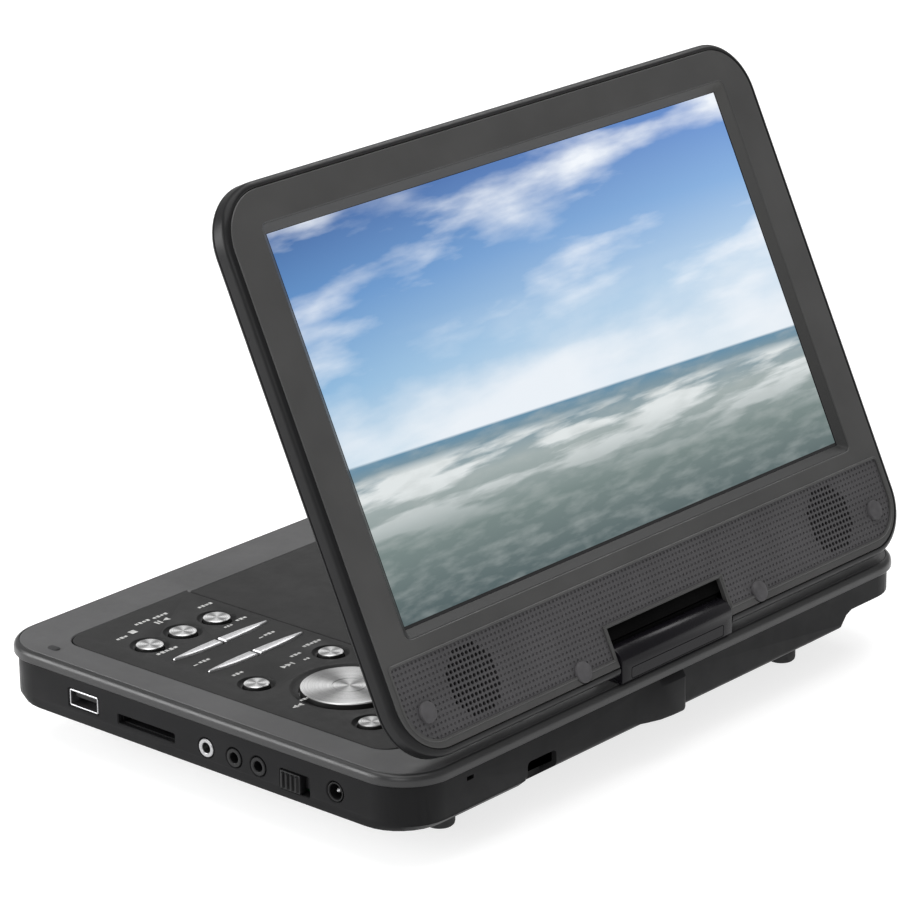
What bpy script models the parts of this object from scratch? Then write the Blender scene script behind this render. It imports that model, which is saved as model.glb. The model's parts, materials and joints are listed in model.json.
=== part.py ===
"""Portable disc player with a swivelling, tilting screen.

Frame: +Z up, origin on the resting plane under the centre of the base.  The hinge edge of the base
faces -Y, the connector side faces -X.  At rest the screen is turned round to face -Y and leans back
over the base.  Lengths below are in millimetres; finish() turns each mesh into metres.
"""
import math

import bmesh
import bpy
from mathutils import Matrix, Vector

# ---------------------------------------------------------------- driving dimensions (mm)
MM = 0.001                   # metres in a millimetre
GAP = 0.3                    # air between touching pieces
OVER = 1.5                   # a cutter runs this far past what it cuts

BASE_X, BASE_Y = 131.0, 93.0         # half width and half depth over the rim
BASE_CORNER = 18.0                   # plan radius of the base corners
RIM = 1.5                            # rim of the top cover stands out over the lower case
UNDERSIDE = 5.0                      # underside of the lower case above the ground
BELLY_TOP = 17.0                     # where the sloped belly meets the upright wall
CASE_TOP = 30.0
COVER_LOW, BASE_TOP = 30.3, 33.8     # top cover, with the parting line under it
COVER_WALL, CASE_WALL = 1.8, 2.0
BELLY_INSET_X, BELLY_INSET_Y = 20.0, 17.5
SOCKET_SIDE_LOW, SOCKET_SIDE_EDGE = 14.4, -74.0   # the socket side reaches lower, up to this x
CORNER_CUT_X, CORNER_CUT_Y, CORNER_CUT_TOP = 96.0, -76.0, 22.0   # rear corner with a raised edge
FOOT_X, FOOT_Y, FOOT_RADIUS = 89.5, 68.0, 5.0

PLATE_LOW = 31.9                     # underside of the key panel and of the disc lid
PANEL_LEFT, PANEL_RIGHT = -116.7, -58.3
PANEL_REAR, PANEL_FRONT = -71.5, 73.6
LID_LEFT, LID_RIGHT = -57.9, 116.7
LID_REAR, LID_FRONT = -71.0, 72.0
PLATE_CORNER = 8.0
KEY_SIDES, DIAL_SIDES = 20, 40
LID_AXIS_Y, LID_AXIS_Z = -71.7, 33.4
LID_HINGES = (("left", -20.0), ("right", 80.0))
KNUCKLE_RADIUS, PIN_RADIUS = 1.0, 0.5

KEY_FLANGE_LOW, KEY_FLANGE_HIGH = 30.6, 31.5
# name, x, y, radius of the round keys
ROUND_KEYS = (("key_top_left", -101.0, 48.6, 4.65), ("key_top_middle", -85.5, 48.6, 4.65),
              ("key_top_right", -69.5, 48.6, 4.65), ("key_upper_left", -102.4, -1.4, 4.25),
              ("key_upper_right", -67.3, -1.4, 4.25), ("key_lower_left", -102.0, -51.0, 4.25),
              ("key_lower_right", -68.4, -51.0, 4.25))
# name, x of the narrow end, x of the blunt end, y of the bar keys
BAR_KEYS = (("bar_front_left", -105.5, -84.5, 33.0), ("bar_front_right", -61.4, -83.0, 33.0),
            ("bar_rear_left", -105.5, -84.5, 17.0), ("bar_rear_right", -61.2, -83.0, 17.0))
BAR_WIDTH = 3.4
DIAL_X, DIAL_Y, DIAL_RADIUS, DIAL_DISH = -85.0, -26.0, 16.0, 19.3
DISH_DEPTH = 0.6

DISC_X, DISC_Y = 30.0, 0.5           # spindle axis
WELL_RADIUS, WELL_FLOOR, DECK_LOW, DECK_TOP = 61.5, 27.0, 29.9, 31.5
PICKUP_Y, PICKUP_TRAVEL = -24.0, 34.0
RAIL_OFFSET, RAIL_Z, RAIL_RADIUS = 19.0, 20.5, 1.5
GEAR_X, GEAR_Y, GEAR_RADIUS = 62.5, -41.0, 7.5

TILT_Y, TILT_Z = -87.6, 42.0         # tilt axis, parallel to X; the swivel axis crosses it
LEAN = math.radians(25.3)            # the screen leans back from upright
BLOCK_HALF, BLOCK_DEPTH, BLOCK_LOW = 28.8, 5.4, 34.6
ROD_RADIUS, SHAFT_RADIUS, BUSHING_RADIUS, BUSHING_LOW = 2.0, 2.3, 3.2, 17.0

SCREEN_HALF, SCREEN_LOW, SCREEN_HIGH, SCREEN_CORNER = 130.5, -5.6, 179.9, 19.5
FACE, BEZEL_BACK, COVER_FRONT, BACK = -4.0, 1.5, 1.8, 6.4   # across the screen from the axis
FACE_ROUND, BACK_ROUND = 2.4, 4.2
NOTCH_HALF, NOTCH_HIGH = 29.3, 7.9
OPENING_HALF, OPENING_LOW, OPENING_HIGH = 113.5, 32.6, 165.5
SPEAKER_X, SPEAKER_Z, SPEAKER_RADIUS = 92.5, 12.9, 13.0
GRILLE_PITCH, GRILLE_RADIUS, GRILLE_HOLE = 4.8, 11.0, 2.2
BUMPERS = (("outer_left", -116.0, 9.4), ("outer_right", 116.0, 9.4),
           ("inner_left", -46.0, 0.6), ("inner_right", 46.0, 0.6))

WALL_X = BASE_X - RIM                # outer face of the connector wall
USB_Y, USB_Z = 51.2, 22.6
CARD_Y, CARD_Z = 22.4, 21.0
JACKS = (("av_out_jack", -4.7, "steel"), ("av_in_jack", -17.0, "black_plastic"),
         ("headphone_jack", -27.5, "black_plastic"))
JACK_Z, JACK_RADIUS, JACK_BORE = 21.8, 3.1, 1.8
SLIDER_LOW, SLIDER_HIGH, SLIDER_KNOB = -49.5, -37.0, 8.6
SLIDER_Z, SLIDER_HALF = 20.6, 3.1
DC_Y, DC_Z, DC_RADIUS, DC_BORE = -60.4, 22.5, 3.2, 2.6

# name: colour, roughness, metallic
FINISHES = {
    "top_shell": ((0.090, 0.090, 0.092), 0.45, 0.0),
    "case_shell": ((0.055, 0.055, 0.058), 0.42, 0.0),
    "panel_plate": ((0.072, 0.072, 0.074), 0.40, 0.0),
    "screen_shell": ((0.070, 0.070, 0.073), 0.40, 0.0),
    "hinge_shell": ((0.085, 0.085, 0.090), 0.35, 0.0),
    "key_metal": ((0.72, 0.72, 0.73), 0.28, 1.0),
    "steel": ((0.60, 0.60, 0.62), 0.32, 1.0),
    "rubber": ((0.020, 0.020, 0.020), 0.80, 0.0),
    "board": ((0.020, 0.090, 0.040), 0.50, 0.0),
    "display": ((0.050, 0.100, 0.180), 0.12, 0.0),
    "light_guide": ((0.750, 0.750, 0.760), 0.30, 0.0),
    "battery": ((0.050, 0.080, 0.160), 0.55, 0.0),
    "black_plastic": ((0.015, 0.015, 0.016), 0.50, 0.0),
}


# ---------------------------------------------------------------- scene and helpers
def make_collection(name):
    collection = bpy.data.collections.new(name)
    bpy.context.scene.collection.children.link(collection)
    return collection


def make_material(name):
    colour, roughness, metallic = FINISHES[name]
    material = bpy.data.materials.new(name)
    material.use_nodes = True
    shader = material.node_tree.nodes["Principled BSDF"]
    shader.inputs["Base Color"].default_value = (*colour, 1.0)
    shader.inputs["Roughness"].default_value = roughness
    shader.inputs["Metallic"].default_value = metallic
    return material


def empty(name, location, rotation=(0, 0, 0), parent=None):
    item = bpy.data.objects.new(name, None)
    item.location = Vector(location) * MM
    item.rotation_euler = rotation
    item.parent = parent
    parts.objects.link(item)
    return item


def finish(name, shape, material=None, parent=None, origin=(0, 0, 0)):
    """Turn a shape in millimetres into a named object; without a material it is a hidden cutter."""
    if shape.faces:
        bmesh.ops.recalc_face_normals(shape, faces=shape.faces[:])
    bmesh.ops.translate(shape, verts=shape.verts[:], vec=-Vector(origin))
    bmesh.ops.scale(shape, verts=shape.verts[:], vec=(MM, MM, MM))
    mesh = bpy.data.meshes.new(name)
    shape.to_mesh(mesh)
    shape.free()
    item = bpy.data.objects.new(name, mesh)
    item.location = Vector(origin) * MM
    item.parent = parent
    if material:
        parts.objects.link(item)
        mesh.materials.append(materials[material])
        mesh.shade_smooth()
        mesh.set_sharp_from_angle(angle=math.radians(32))
    else:
        cutters.objects.link(item)
        item.hide_render = True
        item.display_type = "WIRE"
    return item


def boolean(item, shape, operation, name):
    """Cut or join a shape; the tool is kept as a hidden wire object beside the piece."""
    tool = finish(name, shape, parent=item.parent)
    modifier = item.modifiers.new(name, "BOOLEAN")
    modifier.operation = operation
    modifier.solver = "EXACT"
    modifier.object = tool


def cut(item, shape, name):
    boolean(item, shape, "DIFFERENCE", "cut_" + name)


def join(item, shape, name):
    boolean(item, shape, "UNION", "join_" + name)


def edges_along(shape, axis):
    return [e for e in shape.edges
            if abs((e.verts[1].co - e.verts[0].co).normalized()[axis]) > 0.999]


def edges_at(shape, axis, value):
    return [e for e in shape.edges if all(abs(v.co[axis] - value) < 1e-4 for v in e.verts)]


def box(low, high, corner=0.0, axis=2, steps=6, low_edge=0.0, high_edge=0.0, edge_steps=3):
    """A box; the edges along one axis may have a corner radius and its end edges may be rounded."""
    low, high = Vector(low), Vector(high)
    size = high - low
    shape = bmesh.new()
    bmesh.ops.create_cube(shape, size=1.0)
    for vertex in shape.verts:
        vertex.co = Vector([low[i] + (vertex.co[i] + 0.5) * size[i] for i in range(3)])
    if corner:
        bmesh.ops.bevel(shape, geom=edges_along(shape, axis), offset=corner, segments=steps,
                        profile=0.5, affect="EDGES")
    for radius, value in ((high_edge, high[axis]), (low_edge, low[axis])):
        if radius:
            bmesh.ops.bevel(shape, geom=edges_at(shape, axis, value), offset=radius,
                            segments=edge_steps, profile=0.5, affect="EDGES")
    return shape


def tapered_box(half_x, half_y, low, high, corner, foot, inset_x, inset_y):
    """An upright rounded box whose bottom face draws in to a smaller one lower down."""
    shape = box((-half_x, -half_y, low), (half_x, half_y, high), corner)
    bottom = [f for f in shape.faces if all(abs(v.co.z - low) < 1e-4 for v in f.verts)]
    grown = bmesh.ops.extrude_face_region(shape, geom=bottom)
    bmesh.ops.delete(shape, geom=bottom, context="FACES_ONLY")
    for vertex in [v for v in grown["geom"] if isinstance(v, bmesh.types.BMVert)]:
        vertex.co.x *= (half_x - inset_x) / half_x
        vertex.co.y *= (half_y - inset_y) / half_y
        vertex.co.z = foot
    return shape


def rod(start, end, radius, end_radius=None, sides=24):
    """A round bar or cone between two points."""
    start, end = Vector(start), Vector(end)
    shape = bmesh.new()
    bmesh.ops.create_cone(shape, cap_ends=True, segments=sides, radius1=radius,
                          radius2=radius if end_radius is None else end_radius,
                          depth=(end - start).length)
    turn = Vector((0, 0, 1)).rotation_difference(end - start).to_matrix().to_4x4()
    bmesh.ops.transform(shape, matrix=Matrix.Translation((start + end) / 2) @ turn,
                        verts=shape.verts[:])
    return shape


def turned(name, material, x, y, profile, steps=24, origin_z=0.0):
    """A piece turned about an upright axis; its profile runs down the outside as (radius, z)."""
    points = [(0, profile[0][1]), *profile, (0, profile[-1][1])]
    shape = bmesh.new()
    verts = [shape.verts.new((x + radius, y, height)) for radius, height in points]
    for upper, lower in zip(verts, verts[1:]):
        shape.edges.new((upper, lower))
    item = finish(name, shape, material, origin=(x, y, origin_z))
    screw = item.modifiers.new("turn", "SCREW")
    screw.axis = "Z"
    screw.steps = steps
    screw.render_steps = steps
    screw.use_merge_vertices = True
    screw.merge_threshold = 0.00001
    return item


def outline(corners, steps=5):
    """A closed outline from (a, b, radius) corners; each corner with a radius becomes an arc."""
    points = []
    count = len(corners)
    for index, (a, b, radius) in enumerate(corners):
        here = Vector((a, b))
        if not radius:
            points.append(here)
            continue
        back = (Vector(corners[index - 1][:2]) - here).normalized()
        ahead = (Vector(corners[(index + 1) % count][:2]) - here).normalized()
        half = back.angle(ahead) / 2
        centre = here + (back + ahead).normalized() * (radius / math.sin(half))
        start = here + back * (radius / math.tan(half)) - centre
        end = here + ahead * (radius / math.tan(half)) - centre
        turn = start.angle_signed(end)
        for step in range(steps + 1):
            angle = -turn * step / steps
            points.append(centre + Vector((start.x * math.cos(angle) - start.y * math.sin(angle),
                                           start.x * math.sin(angle) + start.y * math.cos(angle))))
    return points


def slab(points, low, high, axis=2):
    """A plate with the given outline, between two levels of the Z axis or of the Y axis."""
    curve = bpy.data.curves.new("outline", "CURVE")
    curve.dimensions = "2D"
    curve.fill_mode = "BOTH"
    curve.extrude = (high - low) / 2
    spline = curve.splines.new("POLY")
    spline.points.add(len(points) - 1)
    for point, (a, b) in zip(spline.points, points):
        point.co = (a, b, 0, 1)
    spline.use_cyclic_u = True
    item = bpy.data.objects.new("outline", curve)
    mesh = bpy.data.meshes.new_from_object(item)
    bpy.data.objects.remove(item)
    shape = bmesh.new()
    shape.from_mesh(mesh)
    bpy.data.meshes.remove(mesh)
    bmesh.ops.remove_doubles(shape, verts=shape.verts[:], dist=0.0001)
    if axis == 1:
        turn = Matrix.Rotation(math.radians(90), 4, "X")
        bmesh.ops.transform(shape, matrix=turn, verts=shape.verts[:])
    shift = Vector((0, 0, 0))
    shift[axis] = (low + high) / 2
    bmesh.ops.translate(shape, verts=shape.verts[:], vec=shift)
    return shape


def half_leaf(tip, root, y, width, steps=10):
    """Outline of a slim bar key that is blunt at one end and narrows to the other."""
    upper = []
    for step in range(steps + 1):
        t = step / steps
        upper.append((root + (tip - root) * t, width / 2 * (1 - t ** 2.6) + 0.25))
    return [(a, y + b) for a, b in upper] + [(a, y - b) for a, b in reversed(upper)]


# ---------------------------------------------------------------- base shells
def panel_outline(grow):
    left, right = PANEL_LEFT - grow, PANEL_RIGHT + grow
    rear, front = PANEL_REAR - grow, PANEL_FRONT + grow
    return outline([(left, rear, PLATE_CORNER), (right, rear, 0), (right, front, 0),
                    (left, front, PLATE_CORNER)])


def make_lower_case():
    half_x, half_y = BASE_X - RIM, BASE_Y - RIM
    case = finish("lower_case", tapered_box(half_x, half_y, BELLY_TOP, CASE_TOP, BASE_CORNER - RIM,
                                            UNDERSIDE, BELLY_INSET_X, BELLY_INSET_Y), "case_shell")
    for name, inset_y, low in (("upper", 0.1, 16.3), ("lower", 2.0, SOCKET_SIDE_LOW)):
        corners = [(0.1 - half_x, inset_y - half_y, 16.4), (SOCKET_SIDE_EDGE, inset_y - half_y, 1.5),
                   (SOCKET_SIDE_EDGE, half_y - inset_y, 1.5), (0.1 - half_x, half_y - inset_y, 16.4)]
        join(case, slab(outline(corners), low, 18.0), f"socket_side_{name}")
    inner_x, inner_y = half_x - CASE_WALL, half_y - CASE_WALL
    cut(case, tapered_box(inner_x, inner_y, BELLY_TOP + 0.8, CASE_TOP + OVER,
                          BASE_CORNER - RIM - CASE_WALL, UNDERSIDE + CASE_WALL,
                          BELLY_INSET_X - 0.5, BELLY_INSET_Y - 0.5), "case_inside")
    housing = box((-24, -BASE_Y, 15), (4.5, -80, CASE_TOP - GAP))
    for vertex in housing.verts:
        if vertex.co.x < 0:
            vertex.co.y = max(vertex.co.y, 0.2 - half_y)
            vertex.co.z = max(vertex.co.z, BELLY_TOP + 0.4)
    join(case, housing, "hinge_housing")
    cut(case, rod((0, TILT_Y, BUSHING_LOW - GAP), (0, TILT_Y, CASE_TOP + OVER),
                  BUSHING_RADIUS + GAP), "bushing_bore")
    join(case, box((CORNER_CUT_X - 2, 0.1 - half_y, CORNER_CUT_TOP - 6),
                   (half_x - 14, CORNER_CUT_Y + 2, CORNER_CUT_TOP + 2)), "corner_lining")
    join(case, box((half_x - 34, 0.1 - half_y, CORNER_CUT_TOP - 6),
                   (half_x - 0.1, 34 - half_y, CORNER_CUT_TOP + 2), 16.4), "corner_lining_round")
    cut(case, box((CORNER_CUT_X, -BASE_Y - OVER, UNDERSIDE), (BASE_X + OVER, CORNER_CUT_Y,
                  CORNER_CUT_TOP)), "corner_cut")
    cut(case, box((5, -55, UNDERSIDE - OVER), (105, 55, UNDERSIDE + CASE_WALL + OVER), 3,
                  steps=3), "battery_door_opening")
    cut(case, box((-103, -BASE_Y - OVER, 26), (-99.8, -BASE_Y + 6, 27.4)), "rear_slot")
    cut(case, box((SOCKET_SIDE_EDGE, -BASE_Y - OVER, 13), (-60, -BASE_Y + 6, 22.5)), "rear_recess")
    for step in range(5):
        x = -86 + 8 * step
        cut(case, box((x - 1, -26, UNDERSIDE - OVER), (x + 1, 26, UNDERSIDE + CASE_WALL + OVER), 0.9,
                      steps=2), f"vent_{step}")
    low, high = -WALL_X - OVER, -WALL_X + CASE_WALL + OVER
    cut(case, box((low, USB_Y - 6.9, USB_Z - 3.2), (high, USB_Y + 6.9, USB_Z + 3.2)), "usb_opening")
    cut(case, box((low, CARD_Y - 12.8, CARD_Z - 1.6), (high, CARD_Y + 12.8, CARD_Z + 1.6)),
        "card_opening")
    for name, y, _ in JACKS:
        cut(case, rod((low, y, JACK_Z), (high, y, JACK_Z), JACK_RADIUS + GAP), name + "_hole")
    cut(case, box((low, SLIDER_LOW, SLIDER_Z - SLIDER_HALF - GAP),
                  (high, SLIDER_HIGH, SLIDER_Z + SLIDER_HALF + GAP)), "slider_opening")
    cut(case, rod((low, DC_Y, DC_Z), (high, DC_Y, DC_Z), DC_RADIUS + GAP), "dc_hole")


def make_top_cover():
    cover = finish("top_cover", box((-BASE_X, -BASE_Y, COVER_LOW), (BASE_X, BASE_Y, BASE_TOP),
                                    BASE_CORNER, steps=8, high_edge=2.0), "top_shell")
    inner_x, inner_y = BASE_X - COVER_WALL, BASE_Y - COVER_WALL
    cut(cover, box((-inner_x, -inner_y, COVER_LOW - OVER), (inner_x, inner_y, BASE_TOP - 2.0),
                   BASE_CORNER - COVER_WALL), "cover_inside")
    left, right, step_x = PANEL_LEFT - GAP, LID_RIGHT + GAP, PANEL_RIGHT + GAP
    rear, front, step_front = PANEL_REAR - GAP, LID_FRONT + GAP, PANEL_FRONT + GAP
    opening = outline([(left, rear, PLATE_CORNER), (right, rear, PLATE_CORNER),
                       (right, front, PLATE_CORNER), (step_x, front, 0), (step_x, step_front, 0),
                       (left, step_front, PLATE_CORNER)])
    cut(cover, slab(opening, COVER_LOW - OVER, BASE_TOP + OVER), "plate_opening")
    cut(cover, rod((0, TILT_Y, COVER_LOW), (0, TILT_Y, BASE_TOP + OVER), BUSHING_RADIUS + GAP),
        "cover_bushing_hole")
    for name, x in LID_HINGES:
        cut(cover, box((x - 8, rear - 1.2, COVER_LOW), (x + 8, rear + 1.0, BASE_TOP + OVER)),
            f"knuckle_room_{name}")
        for side, end in ((-1, "a"), (1, "b")):
            low, high = sorted((x + side * 4.3, x + side * 7.7))
            join(cover, box((low, rear - 2.2, LID_AXIS_Z - 0.7), (high, LID_AXIS_Y, LID_AXIS_Z + 0.3)),
                 f"cover_tab_{name}_{end}")
            join(cover, rod((low, LID_AXIS_Y, LID_AXIS_Z), (high, LID_AXIS_Y, LID_AXIS_Z),
                            KNUCKLE_RADIUS, sides=16), f"cover_knuckle_{name}_{end}")
        cut(cover, rod((x - 7.9, LID_AXIS_Y, LID_AXIS_Z), (x + 7.9, LID_AXIS_Y, LID_AXIS_Z),
                       PIN_RADIUS + 0.2, sides=12), f"cover_pin_bore_{name}")
        finish(f"lid_pin_{name}", rod((x - 7.6, LID_AXIS_Y, LID_AXIS_Z),
                                      (x + 7.6, LID_AXIS_Y, LID_AXIS_Z), PIN_RADIUS, sides=12), "steel")


def make_control_panel():
    panel = finish("control_panel", slab(panel_outline(0), PLATE_LOW, BASE_TOP), "panel_plate")
    for name, x, y, radius in ROUND_KEYS:
        cut(panel, rod((x, y, BASE_TOP - DISH_DEPTH), (x, y, BASE_TOP + 0.4), radius + 0.8,
                       radius + 2.4, KEY_SIDES), name + "_dish")
        cut(panel, rod((x, y, PLATE_LOW - OVER), (x, y, BASE_TOP + OVER), radius + GAP,
                       sides=KEY_SIDES), name + "_hole")
    cut(panel, rod((DIAL_X, DIAL_Y, BASE_TOP - DISH_DEPTH), (DIAL_X, DIAL_Y, BASE_TOP + 0.4),
                   DIAL_RADIUS + 1.4, DIAL_DISH + 0.6, DIAL_SIDES), "dial_dish")
    cut(panel, rod((DIAL_X, DIAL_Y, PLATE_LOW - OVER), (DIAL_X, DIAL_Y, BASE_TOP + OVER),
                   DIAL_RADIUS + GAP, sides=DIAL_SIDES), "dial_hole")
    for name, tip, root, y in BAR_KEYS:
        side = math.copysign(GAP, tip - root)
        cut(panel, slab(half_leaf(tip + side, root - side, y, BAR_WIDTH + 2 * GAP),
                        PLATE_LOW - OVER, BASE_TOP + OVER), name + "_slot")


def make_keys():
    for name, x, y, radius in ROUND_KEYS:
        profile = ((radius - 0.7, BASE_TOP + 0.7), (radius, BASE_TOP + 0.3),
                   (radius, KEY_FLANGE_HIGH), (radius + 1.0, KEY_FLANGE_HIGH),
                   (radius + 1.0, KEY_FLANGE_LOW))
        turned(name, "key_metal", x, y, profile, steps=KEY_SIDES, origin_z=BASE_TOP)
    for name, tip, root, y in BAR_KEYS:
        middle = (tip + root) / 2
        bar = finish(name, slab(half_leaf(tip, root, y, BAR_WIDTH), KEY_FLANGE_LOW + 0.3,
                                BASE_TOP + 0.6), "key_metal", origin=(middle, y, BASE_TOP))
        join(bar, box((middle - 9.5, y - 2.6, KEY_FLANGE_LOW), (middle + 9.5, y + 2.6, KEY_FLANGE_HIGH)),
             name + "_flange")
    profile = ((DIAL_RADIUS - 1.3, BASE_TOP + 0.9), (DIAL_RADIUS, BASE_TOP + 0.3),
               (DIAL_RADIUS, KEY_FLANGE_HIGH), (DIAL_RADIUS + 1.0, KEY_FLANGE_HIGH),
               (DIAL_RADIUS + 1.0, KEY_FLANGE_LOW))
    turned("dial", "key_metal", DIAL_X, DIAL_Y, profile, steps=DIAL_SIDES, origin_z=BASE_TOP)


def make_small_base_pieces():
    for side_x, name_x in ((-1, "left"), (1, "right")):
        for side_y, name_y in ((-1, "rear"), (1, "front")):
            x, y = side_x * FOOT_X, side_y * FOOT_Y
            turned(f"foot_{name_y}_{name_x}", "rubber", x, y,
                   ((FOOT_RADIUS, UNDERSIDE - GAP), (FOOT_RADIUS, 1.2), (FOOT_RADIUS - 0.9, 0.0)))
        x = side_x * 123.4
        finish(f"nub_{name_x}", box((x - 1.5, 68.2, BASE_TOP + 0.1), (x + 1.5, 73.2, BASE_TOP + 1.1),
                                    1.4, steps=4), "rubber")
    door = finish("battery_door", box((5 + GAP, -55 + GAP, UNDERSIDE), (105 - GAP, 55 - GAP,
                                      UNDERSIDE + CASE_WALL), 2.7, steps=3), "case_shell")
    cut(door, box((92, -9, UNDERSIDE - OVER), (99, 9, UNDERSIDE + 0.9), 3, steps=4), "door_grip")
    finish("battery_pack", box((10, -50, 7.3), (100, 50, 14.5), 3, axis=1, steps=4), "battery")
    bushing = finish("swivel_bushing", rod((0, TILT_Y, BUSHING_LOW), (0, TILT_Y, BASE_TOP - 0.4),
                                           BUSHING_RADIUS), "steel")
    cut(bushing, rod((0, TILT_Y, BUSHING_LOW - OVER), (0, TILT_Y, BASE_TOP + OVER), SHAFT_RADIUS + GAP),
        "bushing_inside")


# ---------------------------------------------------------------- connectors
def make_connectors():
    front = -WALL_X + 0.2
    usb = finish("usb_socket", box((front, USB_Y - 6.6, USB_Z - 2.9), (front + 12.4, USB_Y + 6.6,
                                   USB_Z + 2.9)), "steel")
    cut(usb, box((front - OVER, USB_Y - 6.1, USB_Z - 2.4), (front + 11.4, USB_Y + 6.1, USB_Z + 2.4)),
        "usb_hollow")
    join(usb, box((front + 1.4, USB_Y - 5.2, USB_Z + 0.1), (front + 12.0, USB_Y + 5.2, USB_Z + 1.7)),
         "usb_tongue")
    inside = -WALL_X + CASE_WALL + GAP
    card = finish("card_slot", box((inside, CARD_Y - 14, CARD_Z - 2.1), (inside + 28, CARD_Y + 14,
                                   CARD_Z + 2.3)), "black_plastic")
    cut(card, box((inside - OVER, CARD_Y - 12.3, CARD_Z - 1.3), (inside + 26.5, CARD_Y + 12.3,
                  CARD_Z + 1.3)), "card_hollow")
    for name, y, material in JACKS:
        jack = finish(name, rod((-WALL_X - 0.2, y, JACK_Z), (inside + 2, y, JACK_Z), JACK_RADIUS),
                      material)
        join(jack, box((inside, y - 4, JACK_Z - 3.0), (inside + 12, y + 4, JACK_Z + 3.4)),
             name + "_body")
        cut(jack, rod((-WALL_X - OVER, y, JACK_Z), (inside + 10, y, JACK_Z), JACK_BORE), name + "_bore")
    jack = finish("dc_jack", rod((-WALL_X + 0.1, DC_Y, DC_Z), (inside + 2, DC_Y, DC_Z), DC_RADIUS),
                  "black_plastic")
    join(jack, box((inside, DC_Y - 4.4, DC_Z - 3.6), (inside + 12, DC_Y + 4.4, DC_Z + 4.2)),
         "dc_body")
    cut(jack, rod((-WALL_X - OVER, DC_Y, DC_Z), (inside + 9, DC_Y, DC_Z), DC_BORE), "dc_bore")
    join(jack, rod((-WALL_X + 1.2, DC_Y, DC_Z), (inside + 10, DC_Y, DC_Z), 0.7, sides=12), "dc_pin")
    knob_low = SLIDER_HIGH - GAP - SLIDER_KNOB
    middle = (knob_low + SLIDER_HIGH) / 2
    slider = finish("power_slider", box((-WALL_X - 0.4, knob_low, SLIDER_Z - SLIDER_HALF),
                                        (inside + 0.5, SLIDER_HIGH - GAP, SLIDER_Z + SLIDER_HALF)),
                    "black_plastic", origin=(-WALL_X, middle, SLIDER_Z))
    for step in range(4):
        y = knob_low + 1.3 + 2.0 * step
        join(slider, box((-WALL_X - 1.1, y - 0.45, SLIDER_Z - SLIDER_HALF + 0.3),
                         (-WALL_X + 0.4, y + 0.45, SLIDER_Z + SLIDER_HALF - 0.3)), f"slider_rib_{step}")
    join(slider, box((inside, knob_low - 2, SLIDER_Z - 1.8), (inside + 1.6, SLIDER_HIGH + 2,
                     SLIDER_Z + 4.4)), "slider_plate")


# ---------------------------------------------------------------- boards and disc drive
def make_boards():
    board = finish("main_board", box((-124.8, -79, 16.8), (-62, 72, 18.4)), "board")
    chips = (("decoder", -84, 14, 8, 8, 2.0), ("memory", -84, -10, 5, 8, 1.4),
             ("flash", -84, 38, 4, 6, 1.4), ("driver", -84, -38, 6, 6, 1.6),
             ("inductor", -100, -62, 4, 4, 4.0))
    for name, x, y, half_x, half_y, height in chips:
        join(board, box((x - half_x, y - half_y, 17.6), (x + half_x, y + half_y, 18.4 + height)),
             "chip_" + name)
    for index, (x, y) in enumerate(((-72, -60), (-82, -66), (-72, 58))):
        join(board, rod((x, y, 17.6), (x, y, 25.0), 3.0, sides=16), f"capacitor_{index}")
    keys = finish("key_board", box((-114, -66, 27.4), (-61, 66, 28.8)), "board")
    spots = [(x, y) for _, x, y, _ in ROUND_KEYS]
    spots += [((tip + root) / 2, y) for _, tip, root, y in BAR_KEYS]
    spots.append((DIAL_X, DIAL_Y))
    for index, (x, y) in enumerate(spots):
        join(keys, rod((x, y, 28.2), (x, y, 29.9), 2.2, 1.6, sides=8), f"switch_{index}")


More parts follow.
